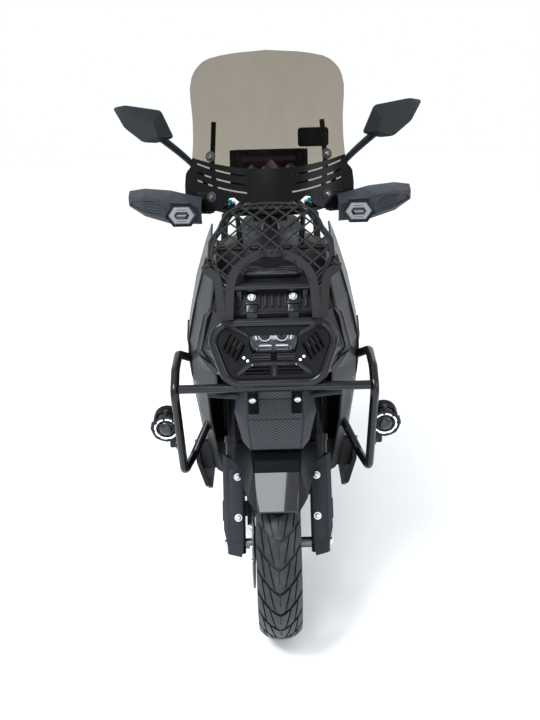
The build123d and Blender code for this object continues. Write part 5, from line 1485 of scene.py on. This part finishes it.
# Engine, exhaust and shocks

BELT_FACE = 0.170
BELT_LID = [(0.214, 0.300), (0.224, 0.360), (0.280, 0.392), (0.400, 0.383), (0.620, 0.338), (0.694, 0.308),
            (0.702, 0.256), (0.676, 0.222), (0.520, 0.224), (0.266, 0.228), (0.224, 0.250)]
BELT_BOLTS = ((0.222, 0.300), (0.244, 0.372), (0.400, 0.376), (0.560, 0.344), (0.682, 0.300), (0.668, 0.230),
              (0.470, 0.230), (0.280, 0.234))
STARTER_FACE = 0.084


def fins(bm, size, at, count, out, up, bevel):
    for turned_at in around(at, count):
        block(bm, size, turned_at @ shift(out, 0, up), bevel)


cover_kit, case_bolts = shapes(2)
belt_at = facing((BELT_FACE, 0, 0), (1, 0, 0))
slab(cover_kit, BELT_LID, belt_at, 0.007, 0.003)
for y, z in BELT_BOLTS:
    bolt(case_bolts, facing((BELT_FACE + 0.006, y, z), (1, 0, 0)), 0.0065, 0.006, 0.0085)
for y, z, ring in ((0.300, 0.306, 0.062), (0.612, 0.276, 0.050)):
    at = facing((BELT_FACE + 0.006, y, z), (1, 0, 0))
    lathe(cover_kit, [(0.0, 0.003), (ring * 0.55, 0.004), (ring * 0.62, 0.0), (ring * 0.9, 0.0), (ring, 0.005),
          (ring + 0.006, 0.005), (ring + 0.010, 0.0)], at, 48)
    fins(cover_kit, (ring * 0.30, 0.006, 0.006), at, 10, ring * 0.76, 0.001, 0.0015)
for step in range(6):
    at = belt_at @ shift(0.470, 0.262 + 0.016 * step, 0.008) @ Matrix.Rotation(-0.18, 4, "Z")
    block(cover_kit, (0.150, 0.004, 0.006), at, 0.0015)
at = facing((-STARTER_FACE, 0.270, 0.318), (-1, 0, 0))
lathe(cover_kit, [(0.0, 0.014), (0.040, 0.013), (0.058, 0.008), (0.062, 0.0)], at, 40)
fins(cover_kit, (0.024, 0.005, 0.006), at, 12, 0.036, 0.012, 0.0012)
for step in range(7):
    block(cover_kit, (0.140, 0.020, 0.004), spot(0, 0.164 - 0.002 * step, 0.262 + 0.018 * step), 0.001)
lathe(cover_kit, [(0.0, 0.020), (0.014, 0.018), (0.016, 0.0)], facing((0.0, 0.330, 0.436), (0, 0, 1)), 24)
piece("engine_covers", cover_kit, "engine_alloy", "chassis")
REAR_NUT = ((0.0, 0.008), (0.011, 0.008), (0.0125, 0.006), (0.0125, -0.002), (0.017, -0.002), (0.017, -0.005))
for sign, reach in ((-1, 0.112), (1, 0.118)):
    lathe(case_bolts, REAR_NUT, facing((sign * reach, REAR_AXLE.y, REAR_AXLE.z), (sign, 0, 0)), 6)
piece("engine_bolts", case_bolts, "steel", "chassis")

can_up = Vector((0.0, 0.985, 0.17)).normalized()
can_at = facing((-0.190, 0.470, 0.292), can_up)
shield = bmesh.new()
oval = can_at @ shift(0, 0, 0.050) @ Matrix.Diagonal((0.0525, 0.0625, 1, 1))
ring = bmesh.ops.create_circle(shield, segments=64, radius=1.0, matrix=oval)
walls = bmesh.ops.extrude_edge_only(shield, edges=edges_of(ring["verts"]))["geom"]
bmesh.ops.translate(shield, verts=verts_in(walls), vec=can_up * 0.210)
bmesh.ops.bisect_plane(
    shield,
    geom=shield.verts[:] + shield.edges[:] + shield.faces[:],
    plane_co=can_at.translation + Vector((-0.012, 0, 0)),
    plane_no=Vector((1, 0, -0.5)),
    clear_outer=True,
)
bmesh.ops.recalc_face_normals(shield, faces=shield.faces[:])
bmesh.ops.solidify(shield, geom=shield.faces[:], thickness=0.0018)
for step in range(5):
    at = can_at @ shift(-0.0530, 0, 0.085 + 0.034 * step)
    block(shield, (0.004, 0.050, 0.012), at, 0.0015)
piece("muffler_shield", shield, "black_plastic", "chassis")
outlet = bmesh.new()
for up in (0.006, 0.324):
    ring_at = can_at @ shift(0, 0, up) @ Matrix.Diagonal((0.0492, 0.0592, 1, 1))
    lathe(outlet, [(0.97, -0.006), (1.02, -0.005), (1.03, 0.0), (1.02, 0.005), (0.97, 0.006)], ring_at, 56)
lathe(outlet, [(0.012, 0.0), (0.016, 0.0), (0.016, 0.034), (0.012, 0.034), (0.012, 0.0)],
      can_at @ shift(0.0, -0.006, 0.341), 28)
piece("muffler_rings", outlet, "exhaust", "chassis")

SHOCK_LOW = Vector((0.0, 0.640, 0.362))
SHOCK_HIGH = Vector((0.0, 0.590, 0.662))
shock_up = (SHOCK_HIGH - SHOCK_LOW).normalized()
shock_long = (SHOCK_HIGH - SHOCK_LOW).length
DAMPER = [(0.0, 0.012), (0.014, 0.012), (0.019, 0.020), (0.019, 0.050), (0.028, 0.054), (0.028, 0.060),
          (0.017, 0.062), (0.017, 0.150), (0.008, 0.152)]
DAMPER_TOP = ((0.008, 0.052), (0.028, 0.050), (0.028, 0.042), (0.016, 0.036), (0.012, 0.012), (0.0, 0.012))
DAMPER += [(radius, shock_long - down) for radius, down in DAMPER_TOP]
SHOCK_EYE = ((0.006, -0.018), (0.014, -0.018), (0.014, 0.018), (0.006, 0.018), (0.006, -0.018))
COIL_TURNS = 8.5
COIL_STEPS = 120
COIL_RADIUS = 0.0232
dampers, springs = shapes(2)
for sign in (-1, 1):
    at = facing(SHOCK_LOW + Vector((sign * 0.118, 0, 0)), shock_up, (1, 0, 0))
    lathe(dampers, DAMPER, at, 28)
    for up in (0.0, shock_long):
        eye_at = facing(at @ Vector((0, 0, up)), (1, 0, 0))
        lathe(dampers, SHOCK_EYE, eye_at, 24)
        bolt(dampers, eye_at @ shift(0, 0, sign * 0.017) @ Matrix.Diagonal((1, 1, sign, 1)), 0.009, 0.007)
    coil = []
    for step in range(COIL_STEPS + 1):
        share = step / COIL_STEPS
        angle = math.tau * COIL_TURNS * share
        up = 0.062 + (shock_long - 0.116) * share
        coil.append(at @ Vector((COIL_RADIUS * math.cos(angle), COIL_RADIUS * math.sin(angle), up)))
    tube(springs, coil, 0.0040, 8)
piece("shock_dampers", dampers, "fork_black", "chassis", ["shocks"])
piece("shock_springs", springs, "steel", "chassis")


# Tail, carrier, stand and wheels

tail_lines = bmesh.new()
for z in (0.803, 0.812, 0.821):
    block(tail_lines, (0.104, 0.004, 0.0045), spot(0, 0.8965, z), 0.0015)
for x in (-0.040, 0.040):
    lathe(tail_lines, [(0.0, 0.004), (0.010, 0.003), (0.012, 0.0)], facing((x, 0.8945, 0.812), (0, 1, 0)), 24)
piece("tail_lamp_lines", tail_lines, "lamp_red", "chassis")
signal_lines = bmesh.new()
for sign in (-1, 1):
    for step in range(4):
        block(signal_lines, (0.004, 0.004, 0.026), spot(sign * (0.108 + 0.012 * step), 0.8888, 0.690), 0.001)
piece("signal_lines", signal_lines, "lamp_amber", "chassis")

pads = bmesh.new()
for x in (-0.070, 0.070):
    block(pads, (0.012, 0.120, 0.004), spot(x, 0.800, 0.9065), 0.0015)
for x, y in ((0.174, 0.560), (-0.174, 0.560), (0.174, 0.640), (-0.174, 0.640)):
    z = 0.782 + (y - 0.490) * 0.080 / 0.150
    lathe(pads, [(0.0112, -0.040), (0.0130, -0.038), (0.0130, 0.038), (0.0112, 0.040)],
          facing((x, y - 0.012, z - 0.006), (0, 0.882, 0.471)), 24)
piece("carrier_pads", pads, "carrier_black", "chassis")

stand_kit = bmesh.new()
STAND = Vector(JOINT["centre_stand_fold"]["pos_m"])
for sign in (-1, 1):
    at = facing((sign * 0.132, STAND.y, STAND.z), (sign, 0, 0))
    lathe(stand_kit, [(0.0, 0.002), (0.008, 0.002), (0.013, 0.0), (0.013, -0.004)], at, 20)
    for step in range(5):
        y = STAND.y - 0.044 - 0.024 + 0.012 * step
        block(stand_kit, (0.032, 0.004, 0.003), spot(sign * 0.152, y, 0.0105), 0.0008)
piece("stand_fittings", stand_kit, "frame_black", "centre_stand")

DISC_FACE = -0.0692
DISC_BOLT_RING = 0.048
RIM_EDGE = 0.0365
VALVE = ((0.0065, -0.012), (0.0060, 0.0), (0.0042, 0.004), (0.0042, 0.022), (0.0, 0.024))


def rim_beads(bm, axle):
    for x in (-RIM_EDGE, RIM_EDGE):
        ring = TYRE_RADIUS * BEAD_RATIO - 0.0015
        hoop(bm, ring, 0.0026, facing((x, axle.y, axle.z), (1, 0, 0)), 72, 8)


wheel_kit = bmesh.new()
rim_beads(wheel_kit, FRONT_AXLE)
valve = Vector((0.0, FRONT_AXLE.y + 0.150 * math.sin(0.6), FRONT_AXLE.z - 0.150 * math.cos(0.6)))
inward = (FRONT_AXLE - valve).normalized()
lathe(wheel_kit, VALVE, facing(valve, Vector((inward.x + 0.25, inward.y, inward.z)), (1, 0, 0)), 14)
piece("front_wheel_fittings", wheel_kit, "rubber", "front_wheel")
wheel_bright = bmesh.new()
for number in range(5):
    turn = math.tau * number / 5 + 0.3
    y, z = DISC_BOLT_RING * math.cos(turn), DISC_BOLT_RING * math.sin(turn)
    bolt(wheel_bright, facing((DISC_FACE, FRONT_AXLE.y + y, FRONT_AXLE.z + z), (-1, 0, 0)), 0.0065, 0.005, 0.009)
piece("disc_bolts", wheel_bright, "bright_steel", "front_wheel")
rear_kit = bmesh.new()
rim_beads(rear_kit, REAR_AXLE)
piece("rear_wheel_fittings", rear_kit, "rubber", "rear_wheel")

FRONT_NUT = ((0.0, 0.006), (0.010, 0.006), (0.0115, 0.004), (0.0115, -0.004), (0.0165, -0.004), (0.0165, -0.006))
axle_nuts = bmesh.new()
for sign in (-1, 1):
    at = facing((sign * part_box("front_axle")[1][0], FRONT_AXLE.y, FRONT_AXLE.z), (sign, 0, 0))
    lathe(axle_nuts, FRONT_NUT, at, 6)
piece("front_axle_nuts", axle_nuts, "bright_steel", "steering")

fog_clamps = bmesh.new()
for x in both((0.258,)):
    block(fog_clamps, (0.026, 0.022, 0.030), spot(x, -0.716, 0.566), 0.004)
piece("bar_clamps", fog_clamps, "bar_metal", "chassis")


# Stage, light and camera

paint = Finish("studio_floor", (0.985, 0.985, 0.985), 0.8)
paint.put("Roughness", paint.spread(paint.noise(3.0), 0.3, 0.7, 0.75, 0.85))
sweep = bmesh.new()
bmesh.ops.create_grid(sweep, x_segments=1, y_segments=1, size=9.0)
floor_mesh = bpy.data.meshes.new("floor")
sweep.to_mesh(floor_mesh)
sweep.free()
floor = bpy.data.objects.new("floor", floor_mesh)
floor.data.materials.append(paint.material)
bpy.context.collection.objects.link(floor)

world = bpy.data.worlds.new("studio")
world.use_nodes = True
sky = world.node_tree.nodes["Background"].inputs
sky["Color"].default_value = (0.93, 0.97, 1.0, 1.0)
sky["Strength"].default_value = 1.07
bpy.context.scene.world = world
bpy.context.scene.view_settings.view_transform = "Standard"

# Name, place, aim, size and power of each light
LAMPS = (
    ("key", (-1.6, -2.2, 3.6), (0.0, -0.4, 0.8), 1.4, 170.0),
    ("fill", (2.6, -2.4, 2.0), (0.0, -0.3, 0.7), 1.6, 26.0),
    ("back", (0.4, 2.8, 3.0), (0.0, 0.1, 0.9), 2.4, 18.0),
    ("low", (0.0, -3.4, 0.5), (0.0, -0.6, 0.5), 1.6, 14.0),
    ("glint", (-0.17, -2.19, 2.26), (0.0, -0.87, 0.50), 0.42, 4.0),
)
for name, place, aim, size, power in LAMPS:
    data = bpy.data.lights.new(name, "AREA")
    data.size = size
    data.energy = power
    data.color = (0.90, 0.96, 1.0)
    lamp = bpy.data.objects.new(name, data)
    lamp.location = place
    lamp.rotation_euler = (Vector(aim) - Vector(place)).to_track_quat("-Z", "Y").to_euler()
    bpy.context.collection.objects.link(lamp)

lens = bpy.data.cameras.new("view")
lens.lens = 46.25
lens.sensor_width = 36.0
lens.shift_x = -4 / 720
eye = bpy.data.objects.new("view", lens)
eye.matrix_world = (
    shift(0.0, -2.872, 1.564)
    @ Matrix.Rotation(math.radians(70.0), 4, "X")
    @ Matrix.Rotation(math.radians(-1.5), 4, "Z")
)
bpy.context.collection.objects.link(eye)
bpy.context.scene.camera = eye
